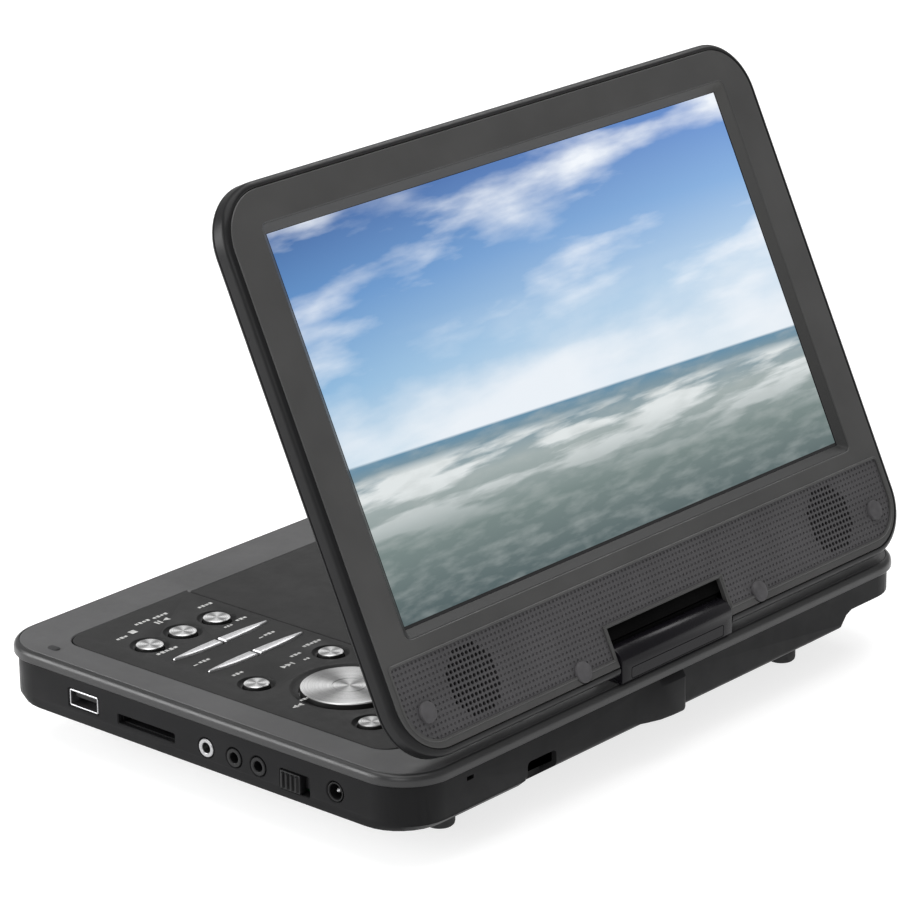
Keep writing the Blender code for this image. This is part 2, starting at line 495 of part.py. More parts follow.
def make_disc_drive():
    tray = finish("disc_tray", box((-57.6, -76, DECK_LOW), (121, 75.5, DECK_TOP), 10), "panel_plate")
    join(tray, rod((DISC_X, DISC_Y, WELL_FLOOR - 1.6), (DISC_X, DISC_Y, DECK_LOW + 0.6),
                   WELL_RADIUS + 1.7, sides=48), "well_cup")
    cut(tray, rod((DISC_X, DISC_Y, WELL_FLOOR), (DISC_X, DISC_Y, DECK_TOP + OVER), WELL_RADIUS,
                  sides=48), "well")
    cut(tray, rod((DISC_X, DISC_Y, WELL_FLOOR - 1.6 - OVER), (DISC_X, DISC_Y, WELL_FLOOR + OVER), 6.0),
        "spindle_hole")
    window_low = PICKUP_Y - PICKUP_TRAVEL - 2.0
    cut(tray, box((DISC_X - 6, window_low - 4, WELL_FLOOR - 1.6 - OVER),
                  (DISC_X + 6, PICKUP_Y + 6, WELL_FLOOR + OVER), 3, steps=3), "pickup_window")
    motor = finish("spindle_motor", rod((DISC_X, DISC_Y, 16.7), (DISC_X, DISC_Y, 24.6), 12.0,
                                        sides=32), "steel")
    cut(motor, rod((DISC_X, DISC_Y, 18.0), (DISC_X, DISC_Y, 24.6 + OVER), 1.8, sides=16),
        "motor_bore")
    profile = ((5.6, 30.9), (7.2, 30.1), (7.2, 28.4), (12.5, 28.4), (12.5, 27.4), (5.2, 27.4),
               (5.2, 25.0), (1.5, 25.0), (1.5, 18.6))
    turned("spindle_hub", "black_plastic", DISC_X, DISC_Y, profile, origin_z=27.4)
    chassis = finish("drive_chassis", box((2, -79.6, 15.2), (84, 16, 16.4), 4, steps=3), "steel")
    for side, name in ((-1, "left"), (1, "right")):
        x = DISC_X + side * RAIL_OFFSET
        for end, y in (("rear", -77.5), ("front", -5.0)):
            join(chassis, box((x - 3, y - 2, 15.8), (x + 3, y + 2, 24.0)), f"rail_block_{name}_{end}")
        cut(chassis, rod((x, -79.5 - OVER, RAIL_Z), (x, -3 + OVER, RAIL_Z), RAIL_RADIUS + GAP,
                         sides=16), f"rail_seat_{name}")
        finish(f"guide_rail_{name}", rod((x, -79.2, RAIL_Z), (x, -3.3, RAIL_Z), RAIL_RADIUS, sides=16),
               "steel")
    pickup = finish("pickup", box((DISC_X - 15, PICKUP_Y - 9, 18.2), (DISC_X + 15, PICKUP_Y + 9, 24.8)),
                    "black_plastic", origin=(DISC_X, PICKUP_Y, RAIL_Z))
    join(pickup, box((DISC_X - 22.5, PICKUP_Y - 7, 17.6), (DISC_X + 23.4, PICKUP_Y + 7, 23.2)),
         "pickup_ears")
    join(pickup, box((DISC_X + 22.6, GEAR_Y - 2, 18.8), (DISC_X + 24.6, GEAR_Y + PICKUP_TRAVEL + 2,
                     21.4)), "pickup_rack")
    join(pickup, rod((DISC_X, PICKUP_Y, 24.0), (DISC_X, PICKUP_Y, 26.6), 4.0, sides=20),
         "lens_barrel")
    for side, name in ((-1, "left"), (1, "right")):
        x = DISC_X + side * RAIL_OFFSET
        cut(pickup, rod((x, PICKUP_Y - 7 - OVER, RAIL_Z), (x, PICKUP_Y + 7 + OVER, RAIL_Z),
                        RAIL_RADIUS + GAP, sides=16), f"pickup_bore_{name}")
    profile = ((2.0, 23.0), (2.0, 21.6), (GEAR_RADIUS, 21.6), (GEAR_RADIUS, 18.8), (2.0, 18.8),
               (2.0, 16.7))
    turned("feed_gear", "light_guide", GEAR_X, GEAR_Y, profile, origin_z=20.2)
    motor = finish("sled_motor", rod((76, -66, 21.0), (76, -46, 21.0), 4.2), "steel")
    join(motor, rod((76, -48, 21.0), (76, -32, 21.0), 1.0, sides=12), "worm_shaft")
    join(motor, rod((76, -45, 21.0), (76, -37, 21.0), 2.6, sides=16), "worm")


def make_disc_lid():
    hinge = empty("lid_axis", (0, LID_AXIS_Y, LID_AXIS_Z))
    offset = Vector((0, LID_AXIS_Y, LID_AXIS_Z))
    points = outline([(LID_LEFT, LID_REAR, 0.6), (LID_RIGHT, LID_REAR, PLATE_CORNER),
                      (LID_RIGHT, LID_FRONT, PLATE_CORNER), (LID_LEFT, LID_FRONT, 0.6)])
    points = [(a - offset.x, b - offset.y) for a, b in points]
    lid = finish("disc_lid", slab(points, PLATE_LOW - offset.z, BASE_TOP - offset.z), "panel_plate",
                 parent=hinge)
    for name, x in LID_HINGES:
        for side, end in ((-1, "a"), (1, "b")):
            low, high = sorted((x + side * 4.0, x + side * 8.3))
            cut(lid, box((low, -OVER, -OVER - 1), (high, 1.7, OVER + 1)), f"lid_room_{name}_{end}")
        join(lid, box((x - 3.9, 0.0, -0.7), (x + 3.9, 1.6, 0.3)), f"lid_tab_{name}")
        join(lid, rod((x - 4.0, 0, 0), (x + 4.0, 0, 0), KNUCKLE_RADIUS, sides=16),
             f"lid_knuckle_{name}")
        cut(lid, rod((x - 4.0 - OVER, 0, 0), (x + 4.0 + OVER, 0, 0), PIN_RADIUS + 0.2, sides=12),
            f"lid_pin_bore_{name}")


# ---------------------------------------------------------------- hinge and screen
def make_hinge():
    """Everything here is placed from the point where the swivel and tilt axes cross."""
    low = BLOCK_LOW - TILT_Z
    steps = 10
    arc = [(BLOCK_DEPTH * math.cos(math.pi * i / steps), 4.2 * math.sin(math.pi * i / steps))
           for i in range(steps + 1)]
    shape = bmesh.new()
    points = [(a, b) for a, b in arc] + [(-BLOCK_DEPTH, low), (BLOCK_DEPTH, low)]
    face = shape.faces.new([shape.verts.new((-BLOCK_HALF, a, b)) for a, b in points])
    grown = bmesh.ops.extrude_face_region(shape, geom=[face])
    ends = [v for v in grown["geom"] if isinstance(v, bmesh.types.BMVert)]
    bmesh.ops.translate(shape, verts=ends, vec=(2 * BLOCK_HALF, 0, 0))
    block = finish("hinge_block", shape, "hinge_shell", parent=swivel)
    cut(block, rod((-BLOCK_HALF - OVER, 0, 0), (BLOCK_HALF + OVER, 0, 0), ROD_RADIUS + GAP),
        "block_rod_bore")
    cut(block, rod((0, 0, low - OVER), (0, 0, -1), SHAFT_RADIUS + GAP), "block_shaft_bore")
    finish("swivel_shaft", rod((0, 0, BUSHING_LOW + 0.3 - TILT_Z), (0, 0, -ROD_RADIUS - GAP), SHAFT_RADIUS),
           "steel", parent=swivel)
    finish("tilt_rod", rod((-44, 0, 0), (44, 0, 0), ROD_RADIUS), "steel", parent=tilt)


def screen_box(front, back, inset=0.0, **rounding):
    return box((-SCREEN_HALF + inset, front, SCREEN_LOW + inset),
               (SCREEN_HALF - inset, back, SCREEN_HIGH - inset), SCREEN_CORNER - inset, axis=1,
               steps=8, **rounding)


def screen_cavity(front, back, wall):
    """The hollow of a screen shell, stepping round the notch for the hinge block."""
    side, low, high = SCREEN_HALF - wall, SCREEN_LOW + wall, SCREEN_HIGH - wall
    inner, top, corner = NOTCH_HALF + 1.7, NOTCH_HIGH + 2.0, SCREEN_CORNER - wall
    points = outline([(-side, low, corner), (-inner, low, 0), (-inner, top, 0), (inner, top, 0),
                      (inner, low, 0), (side, low, corner), (side, high, corner),
                      (-side, high, corner)], steps=7)
    return slab(points, front, back, axis=1)


def notch_cutter():
    return box((-NOTCH_HALF, FACE - OVER, SCREEN_LOW - OVER), (NOTCH_HALF, BACK + OVER, NOTCH_HIGH))


def speaker_spots():
    reach = int(GRILLE_RADIUS / GRILLE_PITCH) + 1
    return [(a * GRILLE_PITCH, b * GRILLE_PITCH)
            for a in range(-reach, reach + 1) for b in range(-reach, reach + 1)
            if math.hypot(a, b) * GRILLE_PITCH <= GRILLE_RADIUS]


def make_screen():
    """Everything here is placed from the tilt axis, with the screen upright and facing -Y."""
    bezel = finish("screen_bezel", screen_box(FACE, BEZEL_BACK, low_edge=FACE_ROUND), "screen_shell",
                   parent=tilt)
    cut(bezel, screen_cavity(FACE + 1.6, BEZEL_BACK + OVER, 2.0), "bezel_inside")
    cut(bezel, notch_cutter(), "bezel_notch")
    cut(bezel, rod((-NOTCH_HALF - 4, 0, 0), (NOTCH_HALF + 4, 0, 0), ROD_RADIUS + GAP), "bezel_rod_bore")
    cut(bezel, box((-OPENING_HALF, FACE - OVER, OPENING_LOW), (OPENING_HALF, FACE + 1.6 + OVER,
                   OPENING_HIGH), 1.5, axis=1, steps=3), "display_opening")
    for side, name in ((-1, "left"), (1, "right")):
        grille = bmesh.new()
        half = GRILLE_HOLE / 2
        for a, b in speaker_spots():
            x, z = side * SPEAKER_X + a, SPEAKER_Z + b
            made = bmesh.ops.create_cube(grille, size=1.0)
            bmesh.ops.scale(grille, verts=made["verts"], vec=(2 * half, 1.6 + 2 * OVER, 2 * half))
            bmesh.ops.translate(grille, verts=made["verts"], vec=(x, FACE + 0.8, z))
        cut(bezel, grille, f"grille_{name}")
        speaker = finish(f"speaker_{name}", rod((side * SPEAKER_X, -2.0, SPEAKER_Z),
                                                (side * SPEAKER_X, 4.2, SPEAKER_Z), SPEAKER_RADIUS),
                         "black_plastic", parent=tilt)
        cut(speaker, rod((side * SPEAKER_X, -2.0 - OVER, SPEAKER_Z), (side * SPEAKER_X, 0.6, SPEAKER_Z),
                         12.4, 5.0), f"speaker_cone_{name}")
    back = finish("screen_back", screen_box(COVER_FRONT, BACK, high_edge=BACK_ROUND, edge_steps=4),
                  "screen_shell", parent=tilt)
    cut(back, screen_cavity(COVER_FRONT - OVER, BACK - 1.6, 2.6), "back_inside")
    cut(back, notch_cutter(), "back_notch")
    cut(back, rod((-NOTCH_HALF - 4, 0, 0), (NOTCH_HALF + 4, 0, 0), ROD_RADIUS + GAP), "back_rod_bore")
    finish("lcd_panel", box((-117, -1.3, 30.6), (117, 2.2, 168.4)), "display", parent=tilt)
    finish("backlight", box((-116, 2.5, 31.4), (116, 4.4, 167.6)), "light_guide", parent=tilt)
    board = finish("driver_board", box((-60, -0.8, 13), (60, 0.8, 28)), "board", parent=tilt)
    for index, x in enumerate((-38, -8, 22)):
        join(board, box((x, 0.2, 16), (x + 12, 2.2, 25)), f"driver_chip_{index}")
    for name, x, z in BUMPERS:
        cut(bezel, rod((x, FACE - OVER, z), (x, FACE + 0.6, z), 3.8), f"seat_{name}")
        finish(f"bumper_{name}", rod((x, FACE + GAP, z), (x, FACE - 1.0, z), 3.5, 3.0), "rubber",
               parent=tilt)


for item in list(bpy.data.objects):
    bpy.data.objects.remove(item)
parts = make_collection("portable_disc_player")
cutters = make_collection("cutters")
materials = {name: make_material(name) for name in FINISHES}
swivel = empty("swivel_axis", (0, TILT_Y, TILT_Z))
tilt = empty("tilt_axis", (0, 0, 0), (-LEAN, 0, 0), parent=swivel)
make_lower_case()
make_top_cover()
make_control_panel()
make_keys()
make_small_base_pieces()
make_connectors()
make_boards()
make_disc_drive()
make_disc_lid()
make_hinge()
make_screen()
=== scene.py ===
"""Looks of the portable disc player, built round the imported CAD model.

Shapes are drawn in millimetres in the frame of the CAD and scaled to metres in piece().
Screen pieces are drawn upright, facing -Y, from the tilt axis, and placed with SCREEN.
"""
import json
import math

import bmesh
import bpy
from mathutils import Matrix, Vector


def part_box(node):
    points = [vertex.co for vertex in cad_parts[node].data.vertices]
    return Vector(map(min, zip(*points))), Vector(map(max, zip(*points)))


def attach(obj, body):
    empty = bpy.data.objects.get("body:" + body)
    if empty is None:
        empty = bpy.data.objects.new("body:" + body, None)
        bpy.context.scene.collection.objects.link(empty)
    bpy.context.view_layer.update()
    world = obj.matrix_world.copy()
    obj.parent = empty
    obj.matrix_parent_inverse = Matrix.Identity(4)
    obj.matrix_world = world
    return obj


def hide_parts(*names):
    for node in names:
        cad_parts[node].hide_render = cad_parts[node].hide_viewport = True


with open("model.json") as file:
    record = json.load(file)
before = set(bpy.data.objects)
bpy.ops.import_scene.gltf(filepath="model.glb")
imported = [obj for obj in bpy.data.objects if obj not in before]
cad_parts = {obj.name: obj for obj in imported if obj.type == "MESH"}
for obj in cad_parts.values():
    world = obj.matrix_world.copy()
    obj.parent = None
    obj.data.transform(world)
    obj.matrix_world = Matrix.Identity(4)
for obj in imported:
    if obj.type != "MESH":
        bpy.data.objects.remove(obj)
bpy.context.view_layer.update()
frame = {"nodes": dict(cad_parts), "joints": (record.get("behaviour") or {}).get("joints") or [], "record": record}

# ---------------------------------------------------------------- places taken from the frame (mm)
MM = 0.001


def cad(node):
    """Lowest and highest corner of a CAD node in millimetres."""
    low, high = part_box(node)
    return low / MM, high / MM


def middle(node):
    """Centre of a CAD node's box in millimetres."""
    low, high = cad(node)
    return (low + high) / 2


joints = {joint["name"]: joint for joint in frame["joints"]}
TILT = Vector(joints["screen_tilt"]["pos_m"])
LEAN = math.radians(25.3)
SCREEN = Matrix.Translation(TILT) @ Matrix.Rotation(-LEAN, 4, "X")
HINGE = Matrix.Translation(TILT)

COVER_LOW, COVER_HIGH = cad("top_cover")
CASE_HIGH = cad("lower_case")[1]
PANEL_LOW, PANEL_HIGH = cad("control_panel")
LID_LOW, LID_HIGH = cad("disc_lid")
BASE_TOP = COVER_HIGH.z
PARTING = COVER_LOW.z
HALF_X, HALF_Y = COVER_HIGH.x, COVER_HIGH.y
CASE_X, CASE_Y = CASE_HIGH.x, CASE_HIGH.y
CORNER = 18.0
GAP = 0.3
WALL = 2.0
BELLY_TOP, BELLY_INSET_X, BELLY_INSET_Y = 17.0, 20.0, 17.5
SOCKET_SIDE_LOW, SOCKET_SIDE_TOP, SOCKET_SIDE_EDGE = 14.4, 18.0, -74.0
CORNER_CUT_X, CORNER_CUT_Y, CORNER_CUT_TOP = 96.0, -76.0, 22.0
RECESS_HIGH_X, RECESS_LOW, RECESS_HIGH = -60.0, 11.0, 22.5
HOUSING_ROOT = -80.0
BUSHING_LOW, BUSHING_RADIUS = 16.7, 3.5
LID_REAR = -71.0
CARD_SLOT_Z = 21.0
SLIDER_SLOT_Y, SLIDER_SLOT_Z = -43.25, 20.6
KNOB_REAR, KNOB_FRONT, KNOB_LOW, KNOB_HIGH = -45.9, -37.3, 17.5, 23.7
SCREWS = [(-60, 60), (60, 66), (-60, -66), (60, -66), (-102, 0)]

SCREEN_HALF, SCREEN_LOW, SCREEN_HIGH, SCREEN_CORNER = 130.5, -5.6, 179.9, 19.5
FACE, BEZEL_BACK, COVER_FRONT, BACK = -4.0, 1.5, 1.8, 6.4
NOTCH_HALF, NOTCH_HIGH, NOTCH_FRONT_HIGH = 29.3, 7.9, 10.0
OPENING_HALF, OPENING_LOW, OPENING_HIGH = 113.5, 32.6, 165.5
LIP_INSET, LIP_END = 2.2, -1.45
PICTURE_HALF, PICTURE_LOW, PICTURE_HIGH = 110.9, 35.9, 163.1
BAND_HALF, BAND_LOW, BAND_HIGH, BAND_CORNER = 125.3, -0.1, 26.0, 13.0
BAND_COLUMNS, BAND_ROWS, NOTCH_COLUMNS, NOTCH_ROWS = 138, 14, 34, 6
SPEAKER_X, SPEAKER_Z, SPEAKER_RADIUS = 92.5, 12.9, 11.6
BARREL_HALF, BARREL_DEPTH, BARREL_CROWN = 28.8, 5.4, 4.2

ROUND_KEYS = ["key_top_left", "key_top_middle", "key_top_right", "key_upper_left",
              "key_upper_right", "key_lower_left", "key_lower_right"]
BAR_KEYS = ["bar_front_left", "bar_front_right", "bar_rear_left", "bar_rear_right"]
FLANGE, FLANGE_LOW, FLANGE_HIGH = 1.0, 30.6, 31.5
BAR_WIDTH = 3.4


# ---------------------------------------------------------------- mesh helpers
def shape_object(name, shape, place):
    """A new object made from a shape drawn in millimetres."""
    bmesh.ops.recalc_face_normals(shape, faces=shape.faces[:])
    bmesh.ops.scale(shape, verts=shape.verts[:], vec=(MM, MM, MM))
    mesh = bpy.data.meshes.new(name)
    shape.to_mesh(mesh)
    shape.free()
    item = bpy.data.objects.new(name, mesh)
    bpy.context.scene.collection.objects.link(item)
    item.matrix_world = place
    return item


def bake_modifiers(item):
    """Replace an object's mesh by what its modifiers make of it."""
    bpy.context.view_layer.update()
    graph = bpy.context.evaluated_depsgraph_get()
    mesh = bpy.data.meshes.new_from_object(item.evaluated_get(graph))
    item.modifiers.clear()
    item.data = mesh


def combine(item, shape, operation="DIFFERENCE"):
    """Cut a shape out of an object, or join it on."""
    tool = shape_object("tool", shape, item.matrix_world.copy())
    modifier = item.modifiers.new("combine", "BOOLEAN")
    modifier.operation = operation
    modifier.solver = "EXACT"
    modifier.object = tool
    bake_modifiers(item)
    bpy.data.objects.remove(tool)


def piece(name, shape, body, slot, look=None, place=Matrix(), origin=(0, 0, 0), cuts=(), joins=(),
          replaces=(), solidify=0.0, smooth=30):
    """A finished piece: shape in millimetres, cut and joined, on its body, with its material.

    The look is the slot's own unless another is named.
    """
    for extra in (shape, *cuts, *joins):
        bmesh.ops.translate(extra, verts=extra.verts[:], vec=-Vector(origin))
    item = shape_object(name, shape, place @ Matrix.Translation(Vector(origin) * MM))
    if solidify:
        modifier = item.modifiers.new("thickness", "SOLIDIFY")
        modifier.thickness = solidify * MM
        modifier.offset = -1
        bake_modifiers(item)
    for extra in joins:
        combine(item, extra, "UNION")
    for extra in cuts:
        combine(item, extra)
    item.data.materials.clear()
    item.data.materials.append(looks[look or slot])
    for polygon in item.data.polygons:
        polygon.material_index = 0
    item.data.shade_smooth()
    item.data.set_sharp_from_angle(angle=math.radians(smooth))
    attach(item, body)
    if replaces:
        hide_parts(*replaces)
    return item


def rounded(half_a, half_b, radius, steps=10, centre=(0, 0)):
    """Points round a rectangle with round corners."""
    points = []
    for index, (sign_a, sign_b) in enumerate(((1, 1), (-1, 1), (-1, -1), (1, -1))):
        for step in range(steps + 1):
            angle = math.pi / 2 * (index + step / steps)
            points.append((centre[0] + sign_a * (half_a - radius) + radius * math.cos(angle),
                           centre[1] + sign_b * (half_b - radius) + radius * math.sin(angle)))
    return points


def outline(corners, steps=8):
    """Points round a polygon given as (a, b, radius) corners."""
    points = []
    count = len(corners)
    for index, (a, b, radius) in enumerate(corners):
        here = Vector((a, b))
        if not radius:
            points.append(tuple(here))
            continue
        back = (Vector(corners[index - 1][:2]) - here).normalized()
        ahead = (Vector(corners[(index + 1) % count][:2]) - here).normalized()
        half = back.angle(ahead) / 2
        centre = here + (back + ahead).normalized() * (radius / math.sin(half))
        start = here + back * (radius / math.tan(half)) - centre
        end = here + ahead * (radius / math.tan(half)) - centre
        turn = -start.angle_signed(end)
        for step in range(steps + 1):
            angle = turn * step / steps
            cosine, sine = math.cos(angle), math.sin(angle)
            points.append((centre.x + start.x * cosine - start.y * sine,
                           centre.y + start.x * sine + start.y * cosine))
    return points


def loft(rings, close=False):
    """Skin over rings of 3-D points with equal counts; closed into a band or capped at both ends."""
    shape = bmesh.new()
    made = [[shape.verts.new(point) for point in ring] for ring in rings]
    pairs = list(zip(made, made[1:])) + ([(made[-1], made[0])] if close else [])
    for first, second in pairs:
        for index in range(len(first)):
            after = (index + 1) % len(first)
            shape.faces.new((first[index], first[after], second[after], second[index]))
    if not close:
        shape.faces.new(made[0])
        shape.faces.new(made[-1])
    return shape


def level(points, height):
    """Points drawn in X and Y, at one height."""
    return [(a, b, height) for a, b in points]


def upright(points, depth):
    """Points drawn in X and Z, at one depth in Y."""
    return [(a, depth, b) for a, b in points]


def sideways(points, x):
    """Points drawn in Y and Z, at one X."""
    return [(x, a, b) for a, b in points]


def quarter(radius, height, direction, steps=6):
    """(inset, height) steps of a rounded edge that ends on the level 'height'."""
    result = []
    for step in range(steps + 1):
        angle = math.pi / 2 * step / steps
        result.append((radius * (1 - math.cos(angle)),
                       height - direction * radius * (1 - math.sin(angle))))
    return result


def block(low, high, bevel=0.0, segments=2):
    """A box between two corners, its edges rounded where a bevel is given."""
    low, high = Vector(low), Vector(high)
    shape = bmesh.new()
    bmesh.ops.create_cube(shape, size=1.0)
    for vertex in shape.verts:
        vertex.co = Vector([low[i] + (vertex.co[i] + 0.5) * (high[i] - low[i]) for i in range(3)])
    if bevel:
        bmesh.ops.bevel(shape, geom=shape.edges[:], offset=bevel, segments=segments, profile=0.5,
                        affect="EDGES")
    return shape


def rod(start, end, radius, sides=32):
    """A round bar between two points."""
    start, end = Vector(start), Vector(end)
    shape = bmesh.new()
    bmesh.ops.create_cone(shape, cap_ends=True, segments=sides, radius1=radius, radius2=radius,
                          depth=(end - start).length)
    turn = Vector((0, 0, 1)).rotation_difference(end - start).to_matrix().to_4x4()
    bmesh.ops.transform(shape, matrix=Matrix.Translation((start + end) / 2) @ turn,
                        verts=shape.verts[:])
    return shape


def circle(radius, sides, centre=(0, 0)):
    return [(centre[0] + radius * math.cos(2 * math.pi * i / sides),
             centre[1] + radius * math.sin(2 * math.pi * i / sides)) for i in range(sides)]


def turned(profile, centre=(0, 0), sides=48):
    """A solid turned about an upright axis from (radius, z) points."""
    return loft([level(circle(radius, sides, centre), z) for radius, z in profile])


def turned_y(profile, centre, sides=32):
    """A solid turned about an axis along Y from (radius, y) points; centre is (x, z)."""
    return loft([upright(circle(radius, sides, centre), y) for radius, y in profile])


def turned_x(profile, centre, sides=32):
    """A solid turned about an axis along X from (radius, x) points; centre is (y, z)."""
    return loft([sideways(circle(radius, sides, centre), x) for radius, x in profile])


def merged(shapes):
    """Several separate shapes in one mesh."""
    whole = bmesh.new()
    for shape in shapes:
        mesh = bpy.data.meshes.new("part")
        shape.to_mesh(mesh)
        shape.free()
        whole.from_mesh(mesh)
        bpy.data.meshes.remove(mesh)
    return whole


# ---------------------------------------------------------------- materials
class Paint:
    """A node material; add() makes a node and sets or links its inputs."""

    def __init__(self, name):
        self.material = bpy.data.materials.new(name)
        self.material.use_nodes = True
        self.tree = self.material.node_tree
        self.shader = self.tree.nodes["Principled BSDF"]
        self.place = self.add("ShaderNodeTexCoord").outputs["Object"]

    def add(self, kind, inputs=None, **settings):
        node = self.tree.nodes.new(kind)
        for key, value in settings.items():
            setattr(node, key, value)
        for key, value in (inputs or {}).items():
            self.set(node.inputs[key], value)
        return node

    def set(self, socket, value):
        if isinstance(value, bpy.types.NodeSocket):
            self.tree.links.new(value, socket)
        else:
            socket.default_value = value

    def base(self, colour, roughness, metallic=0.0, **extra):
        self.set(self.shader.inputs["Base Color"], colour if isinstance(colour, bpy.types.NodeSocket)
                 else (*colour, 1))
        self.set(self.shader.inputs["Roughness"], roughness)
        self.set(self.shader.inputs["Metallic"], metallic)
        for key, value in extra.items():
            self.set(self.shader.inputs[key.replace("_", " ")], value)

    def noise(self, scale, detail=2.0, stretch=(1, 1, 1), vector=None):
        vector = vector or self.place
        if stretch != (1, 1, 1):
            vector = self.add("ShaderNodeMapping", {"Vector": vector, "Scale": stretch}).outputs[0]
        return self.add("ShaderNodeTexNoise", {"Vector": vector, "Scale": scale,
                                               "Detail": detail}).outputs["Fac"]

    def map(self, value, low, high, from_low=0.3, from_high=0.7):
        return self.add("ShaderNodeMapRange", {"Value": value, "From Min": from_low,
                        "From Max": from_high, "To Min": low, "To Max": high}).outputs[0]

    def math(self, operation, first, second=0.0, third=0.0):
        return self.add("ShaderNodeMath", {0: first, 1: second, 2: third},
                        operation=operation).outputs[0]

    def mix(self, factor, first, second):
        node = self.add("ShaderNodeMix", data_type="RGBA")
        self.set(node.inputs["Factor"], factor)
        for socket, value in ((node.inputs[6], first), (node.inputs[7], second)):
            self.set(socket, value if isinstance(value, bpy.types.NodeSocket) else (*value, 1))
        return node.outputs[2]

    def bump(self, height, distance):
        node = self.add("ShaderNodeBump", {"Height": height, "Distance": distance})
        self.set(self.shader.inputs["Normal"], node.outputs[0])

    def ramp(self, factor, stops):
        node = self.add("ShaderNodeValToRGB", {"Fac": factor})
        elements = node.color_ramp.elements
        while len(elements) < len(stops):
            elements.new(0.5)
        for element, (position, colour) in zip(elements, stops):
            element.position = position
            element.color = (*colour, 1)
        return node.outputs[0]


PLASTIC_GRAIN = 0.00035
# Angles of the painted highlight fans on the spun keys.
PAINTED_FAN_ANGLE, PAINTED_BROAD_ANGLE = math.radians(41), math.radians(140)


def shade(colour, factor):
    return tuple(min(1.0, channel * factor) for channel in colour)


def plastic(name, colour, roughness, depth=0.000012, mottle=0.12, shine=0.5):
    """Moulded plastic: fine grain, faint mottling and slightly uneven gloss."""
    paint = Paint(name)
    fine = paint.noise(1 / PLASTIC_GRAIN, 3)
    broad = paint.noise(45, 3)
    tint = paint.mix(paint.map(broad, 0, 1), shade(colour, 1 - mottle), shade(colour, 1 + mottle))
    # Paler on sharp outer edges, found from the mesh's pointiness.
    sharp_edge_paling = paint.map(paint.add("ShaderNodeNewGeometry").outputs["Pointiness"], 0, 0.10, 0.53, 0.65)
    tint = paint.mix(sharp_edge_paling, tint, shade(colour, 1.8))
    rough = paint.map(paint.noise(160, 4), roughness - 0.05, roughness + 0.06)
    paint.base(tint, rough, Specular_IOR_Level=shine)
    paint.bump(fine, depth)
    return paint.material


def lip_plastic_painted_light(name):
    """The slanted lip round the display, with painted light: paler towards the top."""
    paint = Paint(name)
    height = paint.add("ShaderNodeSeparateXYZ", {0: paint.place}).outputs[2]
    # Painted light: dark at the bottom of the lip, paler towards its top.
    paler = paint.map(height, 0, 1, OPENING_LOW * MM, OPENING_HIGH * MM)
    grain = paint.noise(2800, 3)
    tint = paint.mix(paler, (0.020, 0.020, 0.020), (0.060, 0.059, 0.056))
    paint.base(paint.mix(paint.map(grain, 0, 0.3), tint, (0.05, 0.05, 0.05)),
               paint.map(grain, 0.40, 0.50), Specular_IOR_Level=0.3)
    paint.bump(grain, 0.000012)
    return paint.material


def spun_metal_painted_light(name, colour, roughness):
    """Metal turned on a lathe: fine rings about the piece's own axis, with painted highlights in fans and painted
    shade on its sides.
    """
    paint = Paint(name)
    split = paint.add("ShaderNodeSeparateXYZ", {0: paint.place})
    across = paint.math("MULTIPLY", split.outputs[0], split.outputs[0])
    along = paint.math("MULTIPLY", split.outputs[1], split.outputs[1])
    radius = paint.math("SQRT", paint.math("ADD", across, along))
    flat = paint.add("ShaderNodeCombineXYZ", {0: radius}).outputs[0]
    rings = paint.noise(9000, 2, vector=flat)
    # Painted highlights: bright and dark fans and a broad two-sided sweep by angle round the axis, set in the base
    # colour.
    angle = paint.math("ARCTAN2", split.outputs[1], split.outputs[0])
    fans = paint.math("COSINE", paint.math("MULTIPLY_ADD", angle, 4.0, -4 * PAINTED_FAN_ANGLE))
    broad = paint.math("COSINE", paint.math("MULTIPLY_ADD", angle, 2.0, -2 * PAINTED_BROAD_ANGLE))
    light = paint.math("ADD", paint.map(fans, 0, 0.78, -0.9, 1), paint.map(broad, 0, 0.22, -1, 1))
    tint = paint.mix(light, shade(colour, 0.16), colour)
    tint = paint.mix(paint.map(rings, 0, 0.35), tint, shade(colour, 0.35))
    # Painted shade: where the surface turns away from up, the sides are darkened nearly to black.
    normal = paint.add("ShaderNodeSeparateXYZ",
                       {0: paint.add("ShaderNodeNewGeometry").outputs["Normal"]}).outputs[2]
    tint = paint.mix(paint.map(normal, 0, 1, 0.35, 0.8), shade(colour, 0.03), tint)
    paint.base(tint, paint.map(rings, roughness, roughness + 0.1), 0.55)
    paint.bump(rings, 0.000004)
    return paint.material


def brushed_metal(name, colour, roughness, metallic=1.0):
    """Metal brushed along X."""
    paint = Paint(name)
    lines = paint.noise(6000, 3, (0.05, 1, 1))
    tint = paint.mix(paint.map(lines, 0, 1), shade(colour, 0.82), colour)
    paint.base(tint, paint.map(lines, roughness - 0.06, roughness + 0.08), metallic)
    paint.bump(lines, 0.000005)
    return paint.material


def rubber(name, colour):
    paint = Paint(name)
    paint.base(paint.mix(paint.map(paint.noise(220, 4), 0, 1), shade(colour, 0.8),
                         shade(colour, 1.35)), paint.map(paint.noise(500, 2), 0.68, 0.85))
    paint.bump(paint.noise(2600, 3), 0.00002)
    return paint.material


def board_lacquer(name):
    paint = Paint(name)
    traces = paint.add("ShaderNodeTexBrick", {"Vector": paint.place, "Scale": 260.0,
                       "Mortar Size": 0.03, "Color1": (0.012, 0.085, 0.035, 1),
                       "Color2": (0.010, 0.070, 0.030, 1), "Mortar": (0.03, 0.16, 0.06, 1)})
    paint.base(traces.outputs["Color"], paint.map(paint.noise(300, 2), 0.28, 0.42))
    paint.bump(traces.outputs["Fac"], 0.00002)
    return paint.material


